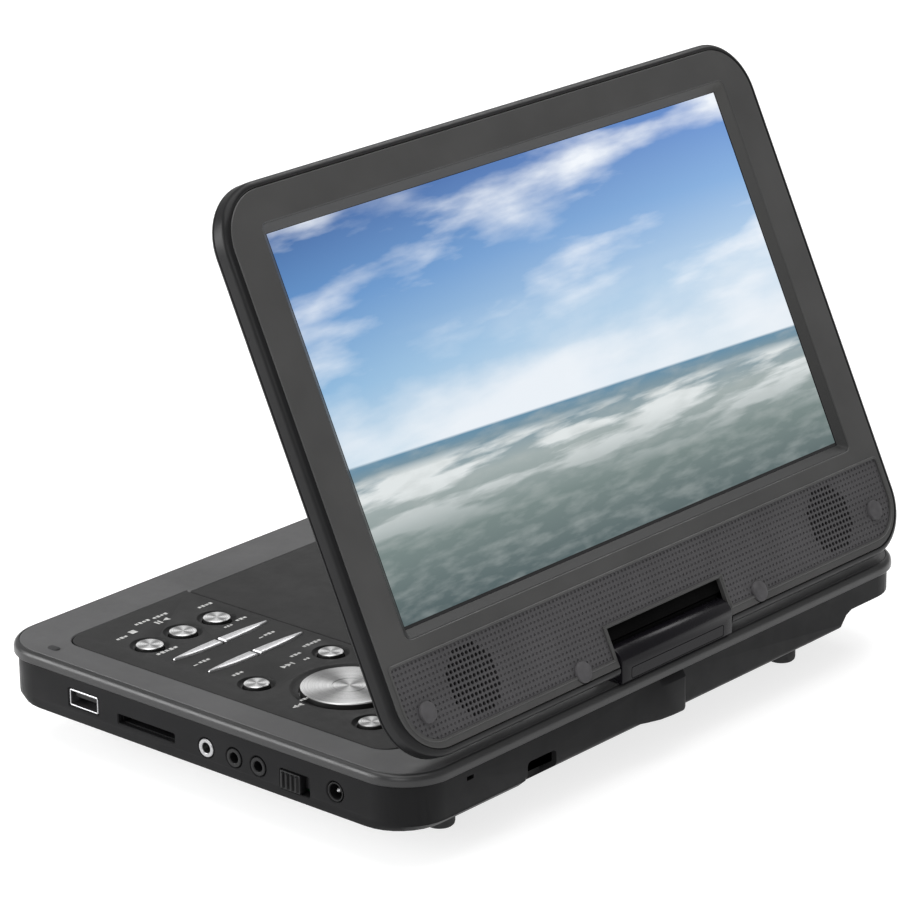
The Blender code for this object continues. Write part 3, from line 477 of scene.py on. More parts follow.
def wrapped_film(name):
    paint = Paint(name)
    creases = paint.noise(70, 5, (1, 0.3, 1))
    paint.base(paint.mix(paint.map(creases, 0, 1), (0.02, 0.05, 0.14), (0.04, 0.09, 0.20)),
               paint.map(creases, 0.22, 0.4))
    paint.bump(creases, 0.0001)
    return paint.material


def print_ink(name, colour):
    paint = Paint(name)
    wear = paint.noise(900, 3)
    paint.base(paint.mix(paint.map(wear, 0, 1), shade(colour, 0.75), colour), 0.6)
    paint.bump(wear, 0.000006)
    return paint.material


def picture_glow(name):
    """A plain seaside view made by formula: sky with streaks of cloud, sea, foam and wet sand."""
    paint = Paint(name)
    split = paint.add("ShaderNodeSeparateXYZ", {0: paint.place})
    half_width = PICTURE_HALF * MM
    half_height = (PICTURE_HIGH - PICTURE_LOW) / 2 * MM
    across = paint.map(split.outputs[0], 0, 1, -half_width, half_width)
    height = paint.map(split.outputs[2], 0, 1, -half_height, half_height)
    horizon = paint.map(across, 0.40, 0.335, 0, 1)
    above = paint.math("SUBTRACT", height, horizon)
    deep = paint.ramp(paint.map(above, 0, 1, 0, 0.62),
                      ((0.0, (0.50, 0.66, 0.78)), (0.30, (0.26, 0.47, 0.70)),
                       (0.65, (0.105, 0.27, 0.56)), (1.0, (0.035, 0.115, 0.33))))
    bright = paint.ramp(paint.map(above, 0, 1, 0, 0.62),
                        ((0.0, (0.72, 0.80, 0.86)), (0.35, (0.50, 0.66, 0.82)),
                         (0.7, (0.23, 0.42, 0.72)), (1.0, (0.12, 0.26, 0.60))))
    sky = paint.mix(across, deep, bright)
    turned_place = paint.add("ShaderNodeMapping", {"Vector": paint.place,
                             "Rotation": (0, math.radians(17), 0), "Scale": (0.75, 1, 3.4)})
    streaks = paint.noise(15, 6, vector=turned_place.outputs[0])
    veil = paint.noise(26, 5, (0.7, 1, 1.6))
    clouds = paint.math("MULTIPLY", paint.map(streaks, 0, 1, 0.50, 0.66),
                        paint.map(veil, 0.25, 1, 0.35, 0.62))
    bank = paint.math("MULTIPLY", paint.map(above, 1, 0, 0.12, 0.30),
                      paint.map(paint.noise(18, 6, (0.5, 1, 1.5)), 0, 1, 0.42, 0.62))
    sky = paint.mix(clouds, sky, (0.86, 0.90, 0.95))
    sky = paint.mix(bank, sky, (0.80, 0.85, 0.90))
    sea = paint.ramp(paint.map(above, 0, 1, -0.40, 0),
                     ((0.0, (0.055, 0.090, 0.095)), (0.45, (0.16, 0.215, 0.205)),
                      (0.74, (0.33, 0.39, 0.385)), (0.93, (0.17, 0.27, 0.33)),
                      (1.0, (0.10, 0.24, 0.36))))
    foam = paint.noise(60, 6, (0.30, 1, 2.6))
    near_shore = paint.math("MULTIPLY", paint.map(above, 0, 1, -0.22, -0.09),
                            paint.map(above, 1, 0, -0.05, -0.025))
    sea = paint.mix(paint.math("MULTIPLY", near_shore, paint.map(foam, 0, 1, 0.46, 0.56)), sea,
                    (0.72, 0.76, 0.76))
    ripple = paint.noise(150, 4, (0.5, 1, 2.0))
    sea = paint.mix(paint.map(ripple, 0, 0.4, 0.45, 0.75), sea, (0.42, 0.46, 0.45))
    view = paint.mix(paint.map(above, 0, 1, -0.002, 0.004), sea, sky)
    paint.base((0.01, 0.01, 0.012), paint.map(paint.noise(900, 2), 0.30, 0.36))
    paint.set(paint.shader.inputs["Emission Color"], view)
    paint.set(paint.shader.inputs["Emission Strength"], 1.0)
    return paint.material


def build_materials():
    return {
        "top_shell": plastic("top_shell_look", (0.062, 0.062, 0.063), 0.42, shine=0.35),
        "case_shell": plastic("case_shell_look", (0.009, 0.009, 0.0095), 0.42, shine=0.08),
        "panel_plate": plastic("panel_plate_look", (0.018, 0.018, 0.018), 0.44, shine=0.15),
        # Painted shade: the rim is a darker copy of the top shell's plastic, standing in for the dark reflection
        # along its rounded edge; its gloss is its own.
        "rim_gloss_painted_shade": plastic("rim_gloss_painted_shade_look", (0.020, 0.020, 0.0205), 0.32, depth=0.000005,
                             shine=0.40),
        "lip": lip_plastic_painted_light("display_lip_painted_light_look"),
        "screen_shell": plastic("screen_shell_look", (0.046, 0.0455, 0.045), 0.42, shine=0.45),
        "screen_rear": plastic("screen_rear_look", (0.009, 0.009, 0.0095), 0.32, depth=0.000006,
                               shine=0.16),
        "grille": plastic("grille_look", (0.048, 0.046, 0.049), 0.46),
        "hinge_shell": plastic("hinge_shell_look", (0.005, 0.0045, 0.006), 0.22, depth=0.000003,
                               shine=0.15),
        "black_plastic": plastic("black_plastic_look", (0.006, 0.006, 0.0065), 0.45, shine=0.25),
        # Near-black matte look for the sheets that stand in for shadow in the notch and over the hinge: painted
        # shade.
        "painted_shade_black": plastic("painted_shade_black_look", (0.002, 0.002, 0.002), 0.7, shine=0.03),
        "key_metal": spun_metal_painted_light("spun_key_painted_light_look", (0.92, 0.92, 0.92), 0.24),
        "bar_metal": brushed_metal("bar_key_look", (0.62, 0.62, 0.63), 0.30, 0.5),
        "steel": brushed_metal("steel_look", (0.45, 0.45, 0.46), 0.34),
        "rubber": rubber("rubber_look", (0.014, 0.014, 0.015)),
        "bumper": rubber("bumper_look", (0.052, 0.050, 0.053)),
        "board": board_lacquer("board_look"),
        "battery": wrapped_film("battery_look"),
        "light_guide": plastic("light_guide_look", (0.70, 0.70, 0.71), 0.35, mottle=0.03),
        "display": plastic("display_edge_look", (0.008, 0.008, 0.009), 0.20, depth=0.000002),
        "ink": print_ink("panel_ink_look", (0.46, 0.46, 0.45)),
        "picture": picture_glow("picture_look"),
    }


# ---------------------------------------------------------------- base
def cover_opening(grow):
    """Outline of the opening for the key panel and the lid, wider beside the keys."""
    left, right = PANEL_LOW.x - GAP - grow, LID_HIGH.x + GAP + grow
    rear, front = PANEL_LOW.y - GAP - grow, LID_HIGH.y + GAP + grow
    step_x, step_front = PANEL_HIGH.x + GAP + grow, PANEL_HIGH.y + GAP + grow
    radius = 8.0 + grow
    return outline([(left, rear, radius), (right, rear, radius), (right, front, radius),
                    (step_x, front, 0), (step_x, step_front, 0), (left, step_front, radius)])


def make_top_cover():
    """The top shell with its opening, and the smooth rim round it as its own piece."""
    def ring(inset, z):
        return level(rounded(HALF_X - inset, HALF_Y - inset, CORNER - inset), z)
    rings = [ring(inset, z) for inset, z in
             ((3.4, BASE_TOP - 2.0), (3.4, PARTING), (1.9, PARTING), (1.9, BASE_TOP - 0.4),
              (2.1, BASE_TOP - 0.1), (2.4, BASE_TOP))]
    rim = [ring(inset, z) for inset, z in
           [(1.8, PARTING), (0.3, PARTING), (0, PARTING + 0.3)] + quarter(2.4, BASE_TOP, 1, 8)[:-2] +
           [(1.8, BASE_TOP - 0.12)]]
    # The rim takes the darker, painted-shade copy of the top shell's plastic.
    piece("top_rim", loft(rim, close=True), "base", "top_shell", "rim_gloss_painted_shade")
    opening = loft([level(cover_opening(0), PARTING - 2), level(cover_opening(0), BASE_TOP - 0.35),
                    level(cover_opening(0.3), BASE_TOP + 0.001),
                    level(cover_opening(0.3), BASE_TOP + 2)])
    bushing = cad("swivel_bushing")
    hole = rod((0, TILT.y / MM, PARTING - 2), (0, TILT.y / MM, BASE_TOP + 2),
               (bushing[1].x - bushing[0].x) / 2 + GAP - 0.1)
    piece("top_shell", loft(rings), "base", "top_shell", cuts=[opening, hole], replaces=["top_cover"])


def case_ring(inset_x, inset_y, corner, z):
    return level(rounded(CASE_X - inset_x, CASE_Y - inset_y, corner), z)


def socket_side():
    """The deeper part of the lower case on the socket side, hollow where the case is hollow."""
    def ring(left, edge, rear, corner, z):
        return level(outline([(left - CASE_X, rear - CASE_Y, corner), (edge, rear - CASE_Y, 1.5),
                              (edge, CASE_Y - rear, 1.5), (left - CASE_X, CASE_Y - rear, corner)]), z)
    hollow = [ring(4, SOCKET_SIDE_EDGE - 4, 4, CORNER - 5, z)
              for z in (SOCKET_SIDE_LOW + 1.2, SOCKET_SIDE_TOP)]
    outside = [ring(inset, SOCKET_SIDE_EDGE - inset, rear, CORNER - 1.6, z) for inset, rear, z in
               ((0.05, 0.05, SOCKET_SIDE_TOP), (0.05, 0.05, 16.6), (0.1, 2.2, SOCKET_SIDE_LOW + 0.3),
                (0.4, 2.5, SOCKET_SIDE_LOW))]
    return loft(hollow + outside)


def hinge_housing():
    """A bulge on the rear wall about the swivel bushing; it swells from the left."""
    root, wall, top = HOUSING_ROOT, 0.2 - CASE_Y, CASE_HIGH.z - GAP
    rings = []
    for x, swell in ((-25, 0), (-20, 0.2), (-14, 0.55), (-8, 0.85), (-2, 0.97), (3.3, 1.0), (4.1, 0.94),
                     (4.5, 0.8)):
        rear, low = wall - 1.7 * swell, BELLY_TOP + 0.5 - 2.4 * swell
        rings.append(sideways([(root, top), (wall, top), (rear, top - 2.3), (rear, low + 1.2),
                               (rear + 0.35, low + 0.35), (rear + 1.2, low), (root, low)], x))
    return loft(rings)


def make_lower_case():
    half_radius = CORNER - 1.5
    rings = [case_ring(BELLY_INSET_X + 1.5, BELLY_INSET_Y + 1.5, half_radius - 3, 7.0),
             case_ring(WALL, WALL, half_radius - WALL, BELLY_TOP + 0.8),
             case_ring(WALL, WALL, half_radius - WALL, CASE_HIGH.z),
             case_ring(0.3, 0.3, half_radius - 0.3, CASE_HIGH.z),
             case_ring(0, 0, half_radius, CASE_HIGH.z - 0.3),
             case_ring(0, 0, half_radius, BELLY_TOP + 0.9),
             case_ring(0.35, 0.3, half_radius - 0.2, BELLY_TOP + 0.1),
             case_ring(1.1, 1.0, half_radius - 0.5, BELLY_TOP - 0.6),
             case_ring(BELLY_INSET_X - 1.2, BELLY_INSET_Y - 1.0, half_radius - 3, 5.7),
             case_ring(BELLY_INSET_X + 0.2, BELLY_INSET_Y + 0.2, half_radius - 3.3, 5.0)]
    lining = block((CORNER_CUT_X - 2, -CASE_Y + 0.6, CORNER_CUT_TOP - 6),
                   (CASE_X - 12, CORNER_CUT_Y + 2, CORNER_CUT_TOP + 1.5))
    corner = loft([level(rounded(17, 17, CORNER - 2.2, centre=(CASE_X - 17.6, 17.6 - CASE_Y)), z)
                   for z in (CORNER_CUT_TOP - 6, CORNER_CUT_TOP + 1.5)])
    cut_x, cut_top, rear_wall, side_wall = CORNER_CUT_X, CORNER_CUT_TOP, -HALF_Y, -CASE_X
    corner_section = [(cut_x - 5, 4), (HALF_X + 3, 4), (HALF_X + 3, cut_top), (cut_x + 2, cut_top),
                      (cut_x - 1, cut_top - 1.2), (cut_x - 3.5, cut_top - 4)]
    corner_cut = loft([upright(corner_section, y) for y in (rear_wall - 3, CORNER_CUT_Y)])
    bore = rod((0, TILT.y / MM, BUSHING_LOW), (0, TILT.y / MM, CASE_HIGH.z + 2), BUSHING_RADIUS)
    pinhole = block((-103, rear_wall - 2, 26), (-99.8, rear_wall + 6, 27.4))
    recess = block((SOCKET_SIDE_EDGE, rear_wall - 2, RECESS_LOW),
                   (RECESS_HIGH_X, rear_wall + 9.5, RECESS_HIGH), 1.5, 3)
    door_low, door_high = cad("battery_door")
    doorway = block((door_low.x - GAP, door_low.y - GAP, 3), (door_high.x + GAP, door_high.y + GAP, 9))
    vents = merged([block((x - 1, -26, 3), (x + 1, 26, 9), 0.6) for x in range(-86, -50, 8)])
    usb, card = middle("usb_socket"), middle("card_slot")
    cuts = [bore, pinhole, recess, corner_cut, doorway, vents,
            socket_cut(usb.y, usb.z, 6.9, 3.2, 0.5), socket_cut(card.y, CARD_SLOT_Z, 12.8, 1.6, 0.4),
            socket_cut(SLIDER_SLOT_Y, SLIDER_SLOT_Z, 6.25, 3.4, 0.6)]
    for name, radius in (("av_out_jack", 3.4), ("av_in_jack", 3.4), ("headphone_jack", 3.4),
                         ("dc_jack", 3.5)):
        profile = [(radius + 0.35, side_wall - 1), (radius + 0.35, side_wall - 0.001),
                   (radius, side_wall + 0.35), (radius, side_wall + 4)]
        cuts.append(turned_x(profile, jack_centre(name)))
    cuts.append(merged([turned([(3.0, 3), (3.0, 6.4)], (x, y), 32) for x, y in SCREWS]))
    piece("lower_shell", loft(rings), "base", "case_shell", cuts=cuts,
          joins=[socket_side(), hinge_housing(), lining, corner], replaces=["lower_case"])


def jack_centre(name):
    """Centre (y, z) of a jack's round front, from the foremost part of its CAD node."""
    node = frame["nodes"][name]
    front = min(vertex.co.x for vertex in node.data.vertices)
    ring = [vertex.co for vertex in node.data.vertices if vertex.co.x < front + 0.0001]
    ys, zs = [p.y for p in ring], [p.z for p in ring]
    return ((min(ys) + max(ys)) / 2 / MM, (min(zs) + max(zs)) / 2 / MM)


def socket_cut(y, z, half_y, half_z, radius):
    """A cutter for a socket opening in the side wall, with a small chamfer outside."""
    x = -CASE_X
    inner = rounded(half_y, half_z, radius, 4, (y, z))
    outer = rounded(half_y + 0.35, half_z + 0.35, radius + 0.35, 4, (y, z))
    return loft([sideways(outer, x - 1), sideways(outer, x - 0.001), sideways(inner, x + 0.35),
                 sideways(inner, x + 4)])


def half_leaf(tip, root, y, width, steps=20):
    """Outline of a slim bar key that is blunt at one end and narrows to the other."""
    upper = []
    for step in range(steps + 1):
        t = step / steps
        upper.append((root + (tip - root) * t, width / 2 * (1 - t ** 2.6) + 0.25))
    return [(a, y + b) for a, b in upper] + [(a, y - b) for a, b in reversed(upper)]


def dish(x, y, hole, rim, depth):
    """A cutter for a shallow round dish about a key, with a hole through its middle."""
    steps = [(rim + 1.2, BASE_TOP + 1.0), (rim + 0.25, BASE_TOP + 0.03), (rim, BASE_TOP - 0.06)]
    for step in range(1, 6):
        t = step / 5
        steps.append((rim + (hole - rim) * t, BASE_TOP - 0.06 - depth * math.sin(t * math.pi / 2)))
    return turned(steps + [(hole, PANEL_LOW.z - 2)], (x, y), 64)


def key_places():
    """Name, centre and cap radius of each round key."""
    places = []
    for name in [*ROUND_KEYS, "dial"]:
        low, high = cad(name)
        places.append((name, *middle(name)[:2], (high.x - low.x) / 2 - FLANGE))
    return places


def bar_places():
    """Name, narrow end, blunt end and y of each bar key; the blunt ends of a pair meet."""
    places = []
    for name in BAR_KEYS:
        low, high = cad(name)
        tip, root = (low.x, high.x) if name.endswith("left") else (high.x, low.x)
        places.append((name, tip, root, (low.y + high.y) / 2))
    return places


def make_control_panel():
    left, right, rear, front = PANEL_LOW.x, PANEL_HIGH.x, PANEL_LOW.y, PANEL_HIGH.y

    def ring(inset):
        return outline([(left + inset, rear + inset, 8 - inset), (right - inset, rear + inset, 0),
                        (right - inset, front - inset, 0), (left + inset, front - inset, 8 - inset)])
    plate = loft([level(ring(0), PANEL_LOW.z), level(ring(0), BASE_TOP - 0.25),
                  level(ring(0.25), BASE_TOP)])
    cuts = []
    for name, x, y, radius in key_places():
        rim = radius + (3.4 if name == "dial" else 2.1)
        cuts.append(dish(x, y, radius + 0.45, rim, 1.3))
    for _, tip, root, y in bar_places():
        side = math.copysign(1, tip - root)
        cuts.append(loft([level(half_leaf(tip + side * grow, root - side * grow, y,
                                          BAR_WIDTH + 2 * grow), z)
                          for grow, z in ((GAP, PANEL_LOW.z - 2), (GAP, BASE_TOP - 0.2),
                                          (0.6, BASE_TOP + 0.001), (0.6, BASE_TOP + 2))]))
    piece("key_panel", plate, "base", "panel_plate", cuts=cuts, replaces=["control_panel"])


def make_keys():
    for name, x, y, radius in key_places():
        if name == "dial":
            top = BASE_TOP + 0.6
            profile = [(0.3, top - 0.12), (5.4, top - 0.08), (5.5, top - 0.2), (5.65, top - 0.2),
                       (5.75, top - 0.07), (10.0, top - 0.03), (radius - 1.0, top),
                       (radius - 0.5, top - 0.08), (radius - 0.1, top - 0.4), (radius, top - 0.7)]
        else:
            top = BASE_TOP + 0.45
            profile = [(0.2, top - 0.2), (radius * 0.5, top - 0.12), (radius - 0.7, top),
                       (radius - 0.45, top - 0.04), (radius - 0.1, top - 0.3), (radius, top - 0.55)]
        profile += [(radius, FLANGE_HIGH), (radius + FLANGE, FLANGE_HIGH), (radius + FLANGE, FLANGE_LOW)]
        piece(name + "_cap", turned(profile, (x, y), 72), name, "key_metal",
              origin=(x, y, BASE_TOP), replaces=[name])
    for name, tip, root, y in bar_places():
        top, side = BASE_TOP + 0.6, math.copysign(1, tip - root)
        rings = [level(half_leaf(tip - side * inset, root + side * inset, y, BAR_WIDTH - 2 * inset), z)
                 for inset, z in ((0, 31.0), (0, top - 0.5), (0.25, top - 0.12), (0.6, top))]
        centre = (tip + root) / 2
        flange = block((centre - 9.5, y - 2.6, FLANGE_LOW), (centre + 9.5, y + 2.6, FLANGE_HIGH), 0.2)
        piece(name + "_cap", loft(rings), name, "key_metal", "bar_metal",
              origin=(centre, y, BASE_TOP), joins=[flange], replaces=[name])


def tri(x, y, size, direction):
    """A small triangle symbol pointing along +X or -X."""
    return [(x - direction * size / 2, y - size / 2), (x + direction * size / 2, y),
            (x - direction * size / 2, y + size / 2)]


def rect(x, y, width, height):
    return [(x - width / 2, y - height / 2), (x + width / 2, y - height / 2),
            (x + width / 2, y + height / 2), (x - width / 2, y + height / 2)]


def dashes(x, y, count, size=1.5):
    """A row of small plain blocks in place of a printed word."""
    return [rect(x + 1.15 * size * (i - (count - 1) / 2), y, size * 0.8, size * (0.75 + 0.25 * (i % 2)))
            for i in range(count)]


def panel_symbols():
    """Plain transport and menu symbols beside the keys, read from the front of the base."""
    marks = dashes(-102.6, 60.0, 3) + [rect(-96.6, 61.0, 2.6, 2.6)]
    marks += dashes(-88.5, 64.8, 4) + dashes(-80.5, 64.4, 4)
    marks += [tri(-81.6, 60.6, 2.6, -1), rect(-84.3, 60.6, 0.8, 2.6), rect(-85.7, 60.6, 0.8, 2.6)]
    marks += dashes(-64.0, 59.5, 4) + dashes(-65.0, 41.6, 3) + dashes(-72.5, 40.3, 3, 1.2)
    marks += dashes(-101.0, 40.6, 5, 1.7) + dashes(-99.5, 25.0, 3) + [rect(-103.8, 24.6, 1.8, 0.6)]
    marks += dashes(-68.5, 25.3, 3) + [rect(-72.8, 24.9, 1.8, 0.6)] + dashes(-100.4, 9.0, 3)
    marks += dashes(-65.8, 8.6, 5) + dashes(-76.5, 5.8, 3)
    marks += [tri(-86.2, 1.6, 2.3, 1), tri(-84.0, 1.6, 2.3, 1), rect(-82.4, 1.6, 0.6, 2.3)]
    marks += dashes(-76.8, 0.6, 2, 1.2)
    marks += [tri(-108.6, -24.2, 2.3, -1), tri(-106.4, -24.2, 2.3, -1)] + dashes(-101.8, -22.0, 3, 1.3)
    marks += dashes(-100.2, -60.6, 3) + [tri(-73.5, -62.0, 2.2, 1)]
    return marks


def make_symbols():
    shapes = [loft([level(mark, BASE_TOP - 0.02), level(mark, BASE_TOP + 0.03)])
              for mark in panel_symbols()]
    piece("panel_symbols", merged(shapes), "base", "panel_plate", "ink")


def make_lid():
    left, right, rear, front = LID_LOW.x, LID_HIGH.x, LID_REAR, LID_HIGH.y

    def ring(inset):
        return outline([(left + inset, rear + inset, 0.6), (right - inset, rear + inset, 8 - inset),
                        (right - inset, front - inset, 8 - inset), (left + inset, front - inset, 0.6)])
    plate = loft([level(ring(0), PANEL_LOW.z), level(ring(0), BASE_TOP - 0.25),
                  level(ring(0.25), BASE_TOP)])
    axis_y, axis_z = [value / MM for value in joints["disc_lid_hinge"]["pos_m"][1:]]
    cuts, joins = [], []
    for x in (-20, 80):
        for side in (-1, 1):
            low, high = sorted((x + side * 4.0, x + side * 8.3))
            cuts.append(block((low, rear - 3, axis_z - 3), (high, axis_y + 1.7, axis_z + 3)))
        joins.append(block((x - 3.9, axis_y, axis_z - 0.7), (x + 3.9, axis_y + 1.6, axis_z + 0.3), 0.1))
        joins.append(turned_x([(0.9, x - 4.0), (1.0, x - 3.9), (1.0, x + 3.9), (0.9, x + 4.0)],
                              (axis_y, axis_z), 32))
    grip_x = (left + right) / 2
    grip = turned([(9.0, BASE_TOP + 1.0), (7.2, BASE_TOP + 0.02), (6.0, BASE_TOP - 0.6),
                   (3.0, BASE_TOP - 0.9)], (grip_x, front + 1.5), 64)
    cuts.append(grip)
    piece("lid_plate", plate, "disc_lid", "panel_plate", cuts=cuts, joins=joins,
          replaces=["disc_lid"])
    mark = [(grip_x - 2.2, 58.5), (grip_x, 62.0), (grip_x + 2.2, 58.5)]
    piece("lid_mark", loft([level(mark, BASE_TOP - 0.02), level(mark, BASE_TOP + 0.03)]), "disc_lid",
          "panel_plate", "ink")


def make_small_pieces():
    for name in [n for n in frame["nodes"] if n.startswith("foot_")]:
        centre = middle(name)
        profile = [(5.0, 4.7), (5.0, 1.5), (4.8, 0.7), (4.3, 0.2), (3.6, 0.0), (1.2, 0.0), (0.9, 0.25)]
        piece(name + "_pad", turned(profile, centre, 48), "base", "rubber", replaces=[name])
    for name in ("nub_left", "nub_right"):
        low, high = cad(name)
        half = (high - low) / 2
        rings = [level(rounded(half.x - inset, half.y - inset, 1.45 - inset, 6, middle(name)), z)
                 for inset, z in [(0, low.z)] + quarter(0.8, high.z, 1, 5)]
        piece(name + "_pad", loft(rings), "base", "rubber", replaces=[name])
    heads = merged([turned([(2.6, 6.3), (2.6, 5.9), (2.2, 5.6), (0.6, 5.5)], (x, y), 32)
                    for x, y in SCREWS])
    slots = [merged([block((x - a, y - b, 5.0), (x + a, y + b, top)) for x, y in SCREWS])
             for a, b, top in ((1.3, 0.3, 6.0), (0.3, 1.3, 5.97))]
    piece("underside_screws", heads, "base", "steel", cuts=slots)
    low, high = cad("battery_door")
    half = (high - low) / 2
    door = loft([level(rounded(half.x - inset, half.y - inset, 2.7 - inset, 6, middle("battery_door")), z)
                 for inset, z in ((0, high.z), (0, low.z + 0.4), (0.4, low.z))])
    grip = turned([(12, low.z - 1), (11, low.z), (6, low.z + 0.9)], (95, 0), 48)
    piece("battery_cover", door, "base", "case_shell", cuts=[grip], replaces=["battery_door"])


# ---------------------------------------------------------------- sockets
def make_sockets():
    low, high = cad("usb_socket")
    _, y, z = middle("usb_socket")
    outer = rounded(6.6, 2.9, 0.7, 4, (y, z))
    inner = rounded(6.1, 2.4, 0.4, 4, (y, z))
    shell = loft([sideways(outer, high.x), sideways(outer, low.x + 0.1),
                  sideways(rounded(6.4, 2.7, 0.5, 4, (y, z)), low.x),
                  sideways(inner, low.x + 0.1), sideways(inner, high.x - 0.6)])
    piece("usb_shell", shell, "base", "steel", replaces=["usb_socket"])
    tongue = block((low.x + 1.4, y - 5.2, z + 0.1), (high.x - 0.4, y + 5.2, z + 1.7), 0.15)
    piece("usb_tongue", tongue, "base", "black_plastic")
    pads = merged([block((low.x + 2.0, y - 3.5 + 2.33 * i - 0.5, z - 0.02),
                         (low.x + 9.0, y - 3.5 + 2.33 * i + 0.5, z + 0.2)) for i in range(4)])
    piece("usb_contacts", pads, "base", "steel")
    for name, slot in (("av_out_jack", "steel"), ("av_in_jack", "black_plastic"),
                       ("headphone_jack", "black_plastic")):
        low, high = cad(name)
        spot = jack_centre(name)
        profile = [(1.8, high.x - 2), (1.8, low.x + 0.25), (2.1, low.x), (2.9, low.x),
                   (3.1, low.x + 0.25), (3.1, high.x - 2)]
        tube = loft([sideways(circle(radius, 40, spot), x) for radius, x in profile], close=True)
        piece(name + "_ring", tube, "base", slot, replaces=[name])
    low, high = cad("dc_jack")
    spot = jack_centre("dc_jack")
    profile = [(2.6, high.x - 3), (2.6, low.x + 0.3), (2.85, low.x), (3.1, low.x), (3.2, low.x + 0.15),
               (3.2, high.x - 3)]
    tube = loft([sideways(circle(radius, 40, spot), x) for radius, x in profile], close=True)
    piece("dc_ring", tube, "base", "black_plastic", replaces=["dc_jack"])
    pin = turned_x([(0.3, low.x + 1.2), (0.7, low.x + 1.6), (0.7, high.x - 3)], spot, 20)
    piece("dc_pin", pin, "base", "steel")
    make_slider()


def make_slider():
    """The ribbed knob of the power switch on its plate behind the wall."""
    low, high = cad("power_slider")
    face, rib_low, rib_high = -CASE_X - 0.4, KNOB_LOW + 0.3, KNOB_HIGH - 0.3
    knob = block((face, KNOB_REAR, KNOB_LOW), (high.x - 1.5, KNOB_FRONT, KNOB_HIGH), 0.25)
    joins = []
    for step in range(4):
        y = KNOB_REAR + 1.3 + 2.0 * step
        foot = [(y - 0.62, rib_low), (y + 0.62, rib_low), (y + 0.62, rib_high), (y - 0.62, rib_high)]
        crest = [(y - 0.2, rib_low + 0.3), (y + 0.2, rib_low + 0.3), (y + 0.2, rib_high - 0.3),
                 (y - 0.2, rib_high - 0.3)]
        joins.append(loft([sideways(foot, face + 0.2), sideways(crest, low.x)]))
    joins.append(block((-127.2, low.y, 18.8), (-125.6, high.y, 25.0), 0.2))
    piece("slider_knob", knob, "power_slider", "black_plastic", joins=joins, replaces=["power_slider"])


# ---------------------------------------------------------------- screen and hinge
def screen_ring(inset, y):
    """Outline of the screen at one depth; its corner radius never falls below 0.8."""
    half_z = (SCREEN_HIGH - SCREEN_LOW) / 2
    return upright(rounded(SCREEN_HALF - inset, half_z - inset, max(SCREEN_CORNER - inset, 0.8), 14,
                           (0, (SCREEN_HIGH + SCREEN_LOW) / 2)), y)


def notch_cut(high):
    """A cutter for the notch over the hinge block, up to a given height."""
    return block((-NOTCH_HALF, FACE - 3, SCREEN_LOW - 3), (NOTCH_HALF, BACK + 3, high))


def band_outline(grow, corner=BAND_CORNER):
    """Outline of the grille band with the step over the hinge block."""
    half, low, high = BAND_HALF + grow, BAND_LOW - grow, BAND_HIGH + grow
    pitch_x, pitch_z = 2 * BAND_HALF / BAND_COLUMNS, (BAND_HIGH - BAND_LOW) / BAND_ROWS
    step_x = NOTCH_COLUMNS / 2 * pitch_x - grow
    step_z = BAND_LOW + NOTCH_ROWS * pitch_z - grow
    return outline([(-half, low, corner), (-step_x, low, 0), (-step_x, step_z, 0), (step_x, step_z, 0),
                    (step_x, low, 0), (half, low, corner), (half, high, 1.5), (-half, high, 1.5)], 12)


def inside_band(x, z, grow):
    """Is a point inside the band's outline, round corners included?"""
    pitch_x, pitch_z = 2 * BAND_HALF / BAND_COLUMNS, (BAND_HIGH - BAND_LOW) / BAND_ROWS
    if abs(x) < NOTCH_COLUMNS / 2 * pitch_x and z < BAND_LOW + NOTCH_ROWS * pitch_z:
        return False
    corner_x, corner_z = BAND_HALF - BAND_CORNER, BAND_LOW + BAND_CORNER
    if abs(x) > corner_x and z < corner_z:
        return math.hypot(abs(x) - corner_x, z - corner_z) < BAND_CORNER + grow
    return True


def make_grille():
    """A sheet of small square cells, each with a dimple, or a hole in front of a speaker."""
    pitch_x, pitch_z = 2 * BAND_HALF / BAND_COLUMNS, (BAND_HIGH - BAND_LOW) / BAND_ROWS
    front = FACE + 0.3
    shape = bmesh.new()
    corners = {}

    def corner(column, row):
        if (column, row) not in corners:
            corners[column, row] = shape.verts.new((-BAND_HALF + column * pitch_x, front,
                                                    BAND_LOW + row * pitch_z))
        return corners[column, row]

    for column in range(BAND_COLUMNS):
        for row in range(BAND_ROWS):
            x = -BAND_HALF + (column + 0.5) * pitch_x
            z = BAND_LOW + (row + 0.5) * pitch_z
            if not inside_band(x, z, 0.9):
                continue
            hole = math.hypot(abs(x) - SPEAKER_X, z - SPEAKER_Z) < SPEAKER_RADIUS
            radius = 0.70 if hole else 0.56
            square = [corner(column, row), corner(column + 1, row), corner(column + 1, row + 1),
                      corner(column, row + 1)]
            angles = [math.radians(-112.5 + 45 * i) for i in range(8)]
            ring = [shape.verts.new((x + radius * math.cos(a), front, z + radius * math.sin(a)))
                    for a in angles]
            for side in range(4):
                after = (side + 1) % 4
                shape.faces.new((square[side], square[after], ring[2 * side + 1], ring[2 * side]))
                shape.faces.new((square[after], ring[(2 * side + 2) % 8], ring[2 * side + 1]))
            if not hole:
                floor = [shape.verts.new((x + 0.7 * radius * math.cos(a), front + 0.35,
                                          z + 0.7 * radius * math.sin(a))) for a in angles]
                for i in range(8):
                    after = (i + 1) % 8
                    shape.faces.new((ring[i], ring[after], floor[after], floor[i]))
                shape.faces.new(floor)
    piece("speaker_grille", shape, "screen", "screen_shell", "grille", place=SCREEN,
          solidify=0.8, smooth=25)


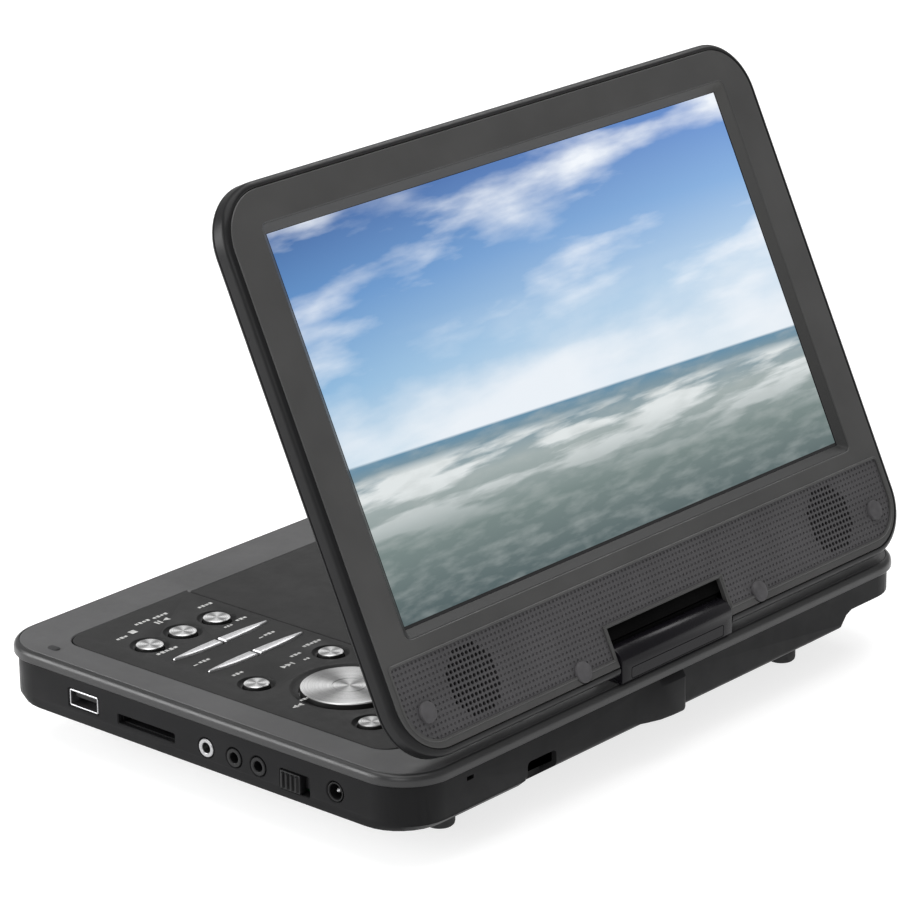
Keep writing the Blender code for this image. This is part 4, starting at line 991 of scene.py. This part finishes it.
def window(grow):
    """Outline of the display opening."""
    half = (OPENING_HIGH - OPENING_LOW) / 2
    return rounded(OPENING_HALF + grow, half + grow, max(1.5 + grow, 0.3), 5,
                   (0, (OPENING_LOW + OPENING_HIGH) / 2))


def make_bezel_rim():
    """The dark rounded rim round the front, with a fine groove between it and the flat face."""
    edge = [(inset, y) for inset, y in quarter(2.4, FACE, -1, 8) if inset < 2.2]
    rings = [(2.25, BEZEL_BACK), (0.2, BEZEL_BACK), (0, BEZEL_BACK - 0.2)] + edge + [(2.25, FACE + 0.2)]
    piece("bezel_rim", loft([screen_ring(inset, y) for inset, y in rings], close=True), "screen",
          "screen_shell", "screen_rear", place=SCREEN, cuts=[notch_cut(NOTCH_HIGH)])


def make_screen():
    rings = [screen_ring(inset, y) for inset, y in
             ((4.0, FACE + 1.6), (4.0, BEZEL_BACK), (2.5, BEZEL_BACK), (2.5, FACE + 0.25), (2.75, FACE))]
    lip = loft([upright(window(grow), y) for grow, y in
                ((0.8, FACE + 0.25), (0.8, LIP_END), (-LIP_INSET, LIP_END), (-LIP_INSET, LIP_END - 0.1),
                 (0.65, FACE + 0.25))], close=True)
    display_cut = loft([upright(window(grow), y) for grow, y in
                        ((1.1, FACE - 2), (1.1, FACE - 0.001), (0.85, FACE + 0.2),
                         (0.85, BEZEL_BACK + 2))])
    pocket = loft([upright(band_outline(0.1, 8.0), FACE + 0.25),
                   upright(band_outline(0.1, 8.0), FACE + 1.3)])
    mouth = loft([upright(band_outline(0), FACE - 2), upright(band_outline(0), FACE + 0.7)])
    speakers = [turned_y([(SPEAKER_RADIUS + 1.2, FACE + 0.9), (SPEAKER_RADIUS + 1.2, FACE + 4)],
                         (side * SPEAKER_X, SPEAKER_Z), 48) for side in (-1, 1)]
    seats = []
    for name in [n for n in frame["nodes"] if n.startswith("bumper_")]:
        spot = SCREEN.inverted() @ ((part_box(name)[0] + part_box(name)[1]) / 2)
        seats.append(turned_y([(3.8, FACE - 2), (3.8, FACE + 1.2)], (spot.x / MM, spot.z / MM), 40))
    piece("bezel_shell", loft(rings), "screen", "screen_shell", place=SCREEN,
          cuts=[notch_cut(NOTCH_FRONT_HIGH), display_cut, mouth, pocket, *speakers, *seats],
          replaces=["screen_bezel"])
    piece("display_lip", lip, "screen", "screen_shell", "lip", place=SCREEN)
    make_bezel_rim()
    # Painted shade: a near-black matte sheet and backing fill the notch over the hinge block, standing in for the
    # shadow in it.
    half = NOTCH_HALF - 0.1
    shade_sheet = block((-half, -2.4, 5.6), (half, 1.6, NOTCH_FRONT_HIGH - 0.05), 0.2)
    shade_backing = block((-half, 1.2, 5.6), (half, 6.0, NOTCH_HIGH - 0.05), 0.2)
    piece("notch_shade_sheet", shade_sheet, "screen", "black_plastic", "painted_shade_black", place=SCREEN,
          joins=[shade_backing])
    border = loft([upright(band_outline(-0.1), FACE + 0.3), upright(band_outline(-0.1), FACE - 0.18),
                   upright(band_outline(0.15), FACE - 0.3), upright(band_outline(0.45), FACE - 0.3),
                   upright(band_outline(0.7), FACE - 0.1), upright(band_outline(0.7), FACE + 0.3)],
                  close=True)
    piece("grille_border", border, "screen", "screen_shell", place=SCREEN)
    make_grille()
    inside = [(11.0, BACK - 1.6), (2.8, COVER_FRONT + 0.8), (2.6, COVER_FRONT), (0.2, COVER_FRONT)]
    pillow = [(0, 2.0), (0.08, 2.3), (0.25, 2.6), (0.5, 2.9), (0.9, 3.2), (1.5, 3.55), (2.2, 3.87),
              (3.2, 4.24), (4.5, 4.65), (6.0, 5.05), (8.0, 5.48), (10.0, 5.80), (12.0, 6.04)]
    groove = [(12.25, 5.6), (12.9, 5.65), (13.15, 6.12), (16.0, 6.27), (19.0, 6.35), (24.0, BACK)]
    back_rings = [screen_ring(inset, y) for inset, y in inside + pillow + groove]
    piece("screen_rear", loft(back_rings), "screen", "screen_shell", "screen_rear",
          place=SCREEN, cuts=[notch_cut(NOTCH_HIGH)], replaces=["screen_back"])
    plate = loft([upright(window(-0.1), y) for y in (-1.36, -1.32)])
    piece("display_mask", plate, "screen", "display", place=SCREEN)
    picture_centre = (0, (PICTURE_LOW + PICTURE_HIGH) / 2)
    half_height = (PICTURE_HIGH - PICTURE_LOW) / 2
    picture = loft([upright(rounded(PICTURE_HALF, half_height, 0.2, 2, picture_centre), y)
                    for y in (-1.42, -1.38)])
    piece("display_picture", picture, "screen", "display", "picture", place=SCREEN,
          origin=(0, -1.4, picture_centre[1]))
    for name in [n for n in frame["nodes"] if n.startswith("bumper_")]:
        spot = SCREEN.inverted() @ ((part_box(name)[0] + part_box(name)[1]) / 2)
        profile = [(3.5, FACE + 0.4), (3.5, FACE - 0.3), (3.3, FACE - 0.65), (2.8, FACE - 0.9),
                   (1.8, FACE - 1.0), (0.4, FACE - 1.02)]
        piece(name + "_pad", turned_y(profile, (spot.x / MM, spot.z / MM), 40), "screen", "rubber",
              "bumper", place=SCREEN, replaces=[name])


def make_hinge():
    low = cad("hinge_block")[0].z - TILT.z / MM
    depth, crown, half = BARREL_DEPTH, BARREL_CROWN, BARREL_HALF

    def section(inset):
        points = []
        for step in range(25):
            angle = math.pi * step / 24
            points.append(((depth - inset) * math.cos(angle), (crown - inset) * math.sin(angle)))
        return points + [(inset - depth, low + 0.6 + inset), (inset - depth + 0.6, low + inset),
                         (depth - 0.6 - inset, low + inset), (depth - inset, low + 0.6 + inset)]
    rings = [sideways(section(inset), x) for inset, x in
             ((0.5, -half), (0.15, -half + 0.15), (0, -half + 0.5), (0, half - 0.5),
              (0.15, half - 0.15), (0.5, half))]
    bores = [turned_x([(2.3, -half - 2), (2.3, half + 2)], (0, 0)),
             rod((0, 0, low - 2), (0, 0, -1), 2.6)]

    def inset_line(grow):
        return rounded(24.0 + grow, 1.9 + grow, 0.6 + max(grow, 0), 4, (0, -4.6))
    groove = loft([upright(inset_line(0.3), -depth - 1), upright(inset_line(0.1), -depth + 0.25),
                   upright(inset_line(-0.1), -depth + 0.25), upright(inset_line(-0.3), -depth - 1)],
                  close=True)
    piece("hinge_barrel", loft(rings), "hinge", "hinge_shell", place=HINGE,
          cuts=[*bores, groove], replaces=["hinge_block"])
    # Painted shade: a near-black crescent over the barrel's upper front stands in for the shadow in the gap under
    # the notch.
    arc = [math.radians(9 * step) for step in range(10)]
    shade_sheet = [((depth - 0.05) * math.cos(a), (depth - 0.05) * math.sin(a)) for a in arc]
    shade_sheet += [((depth - 1.2) * math.cos(a), (crown - 1.0) * math.sin(a)) for a in reversed(arc)]
    piece("hinge_shade_sheet", loft([sideways(shade_sheet, -half + 0.8), sideways(shade_sheet, half - 0.8)]), "hinge",
          "black_plastic", "painted_shade_black", place=HINGE)


# ---------------------------------------------------------------- CAD nodes that stay
def dress_cad_nodes():
    by_slot = {entry["node"]: entry["material_slot"] for entry in frame["record"]["subparts"]}
    for name, node in frame["nodes"].items():
        look = looks[by_slot[name]]
        if name == "spindle_hub":
            look = looks["black_plastic"]
        node.data.materials.clear()
        node.data.materials.append(look)


# ---------------------------------------------------------------- stage, light, camera
def make_stage():
    mesh = bpy.data.meshes.new("studio_floor")
    size = 6.0
    mesh.from_pydata([(-size, -size, 0), (size, -size, 0), (size, size, 0), (-size, size, 0)], [],
                     [(0, 1, 2, 3)])
    floor = bpy.data.objects.new("studio_floor", mesh)
    bpy.context.scene.collection.objects.link(floor)
    paint = Paint("studio_floor_look")
    paint.base(paint.mix(paint.map(paint.noise(3, 2), 0, 1), (0.36, 0.36, 0.36), (0.40, 0.40, 0.40)),
               0.9, Emission_Color=(1, 1, 1, 1), Emission_Strength=0.76)
    mesh.materials.append(paint.material)


def area_light(name, place, target, size, power):
    light = bpy.data.lights.new(name, "AREA")
    light.shape = "RECTANGLE"
    light.size, light.size_y = size
    light.energy = power
    item = bpy.data.objects.new(name, light)
    item.location = place
    item.rotation_euler = (Vector(target) - Vector(place)).to_track_quat("-Z", "Y").to_euler()
    bpy.context.scene.collection.objects.link(item)


def make_lights():
    world = bpy.data.worlds.new("studio")
    world.use_nodes = True
    world.node_tree.nodes["Background"].inputs["Color"].default_value = (1, 1, 1, 1)
    world.node_tree.nodes["Background"].inputs["Strength"].default_value = 0.42
    bpy.context.scene.world = world
    aim = (0, -0.02, 0.08)
    area_light("overhead", (-0.2, 0.1, 2.2), aim, (2.2, 2.2), 42)
    area_light("edge", (-1.0, 0.75, 0.42), (-0.13, 0, 0.03), (0.9, 0.6), 14)
    area_light("fill", (-1.1, -0.6, 0.7), aim, (0.6, 0.6), 3)
    area_light("rim", (1.1, 0.4, 1.2), aim, (1.0, 0.5), 6)


def make_camera():
    data = bpy.data.cameras.new("camera")
    data.sensor_width = 36.0
    data.lens = 166.2
    data.clip_start, data.clip_end = 0.05, 20
    forward = Vector((0.70708, 0.62463, -0.33146)).normalized()
    up = Vector((0.25549, 0.21141, 0.94342)).normalized()
    right = forward.cross(up).normalized()
    up = right.cross(forward)
    turn = Matrix((right, up, -forward)).transposed().to_4x4()
    item = bpy.data.objects.new("camera", data)
    item.matrix_world = Matrix.Translation((-0.98685, -0.86674, 0.54741)) @ turn
    bpy.context.scene.collection.objects.link(item)
    bpy.context.scene.camera = item


bpy.context.scene.view_settings.view_transform = "Standard"
looks = build_materials()
make_camera()
make_lights()
make_stage()
make_lower_case()
make_top_cover()
make_control_panel()
make_keys()
make_symbols()
make_lid()
make_small_pieces()
make_sockets()
make_hinge()
make_screen()
dress_cad_nodes()
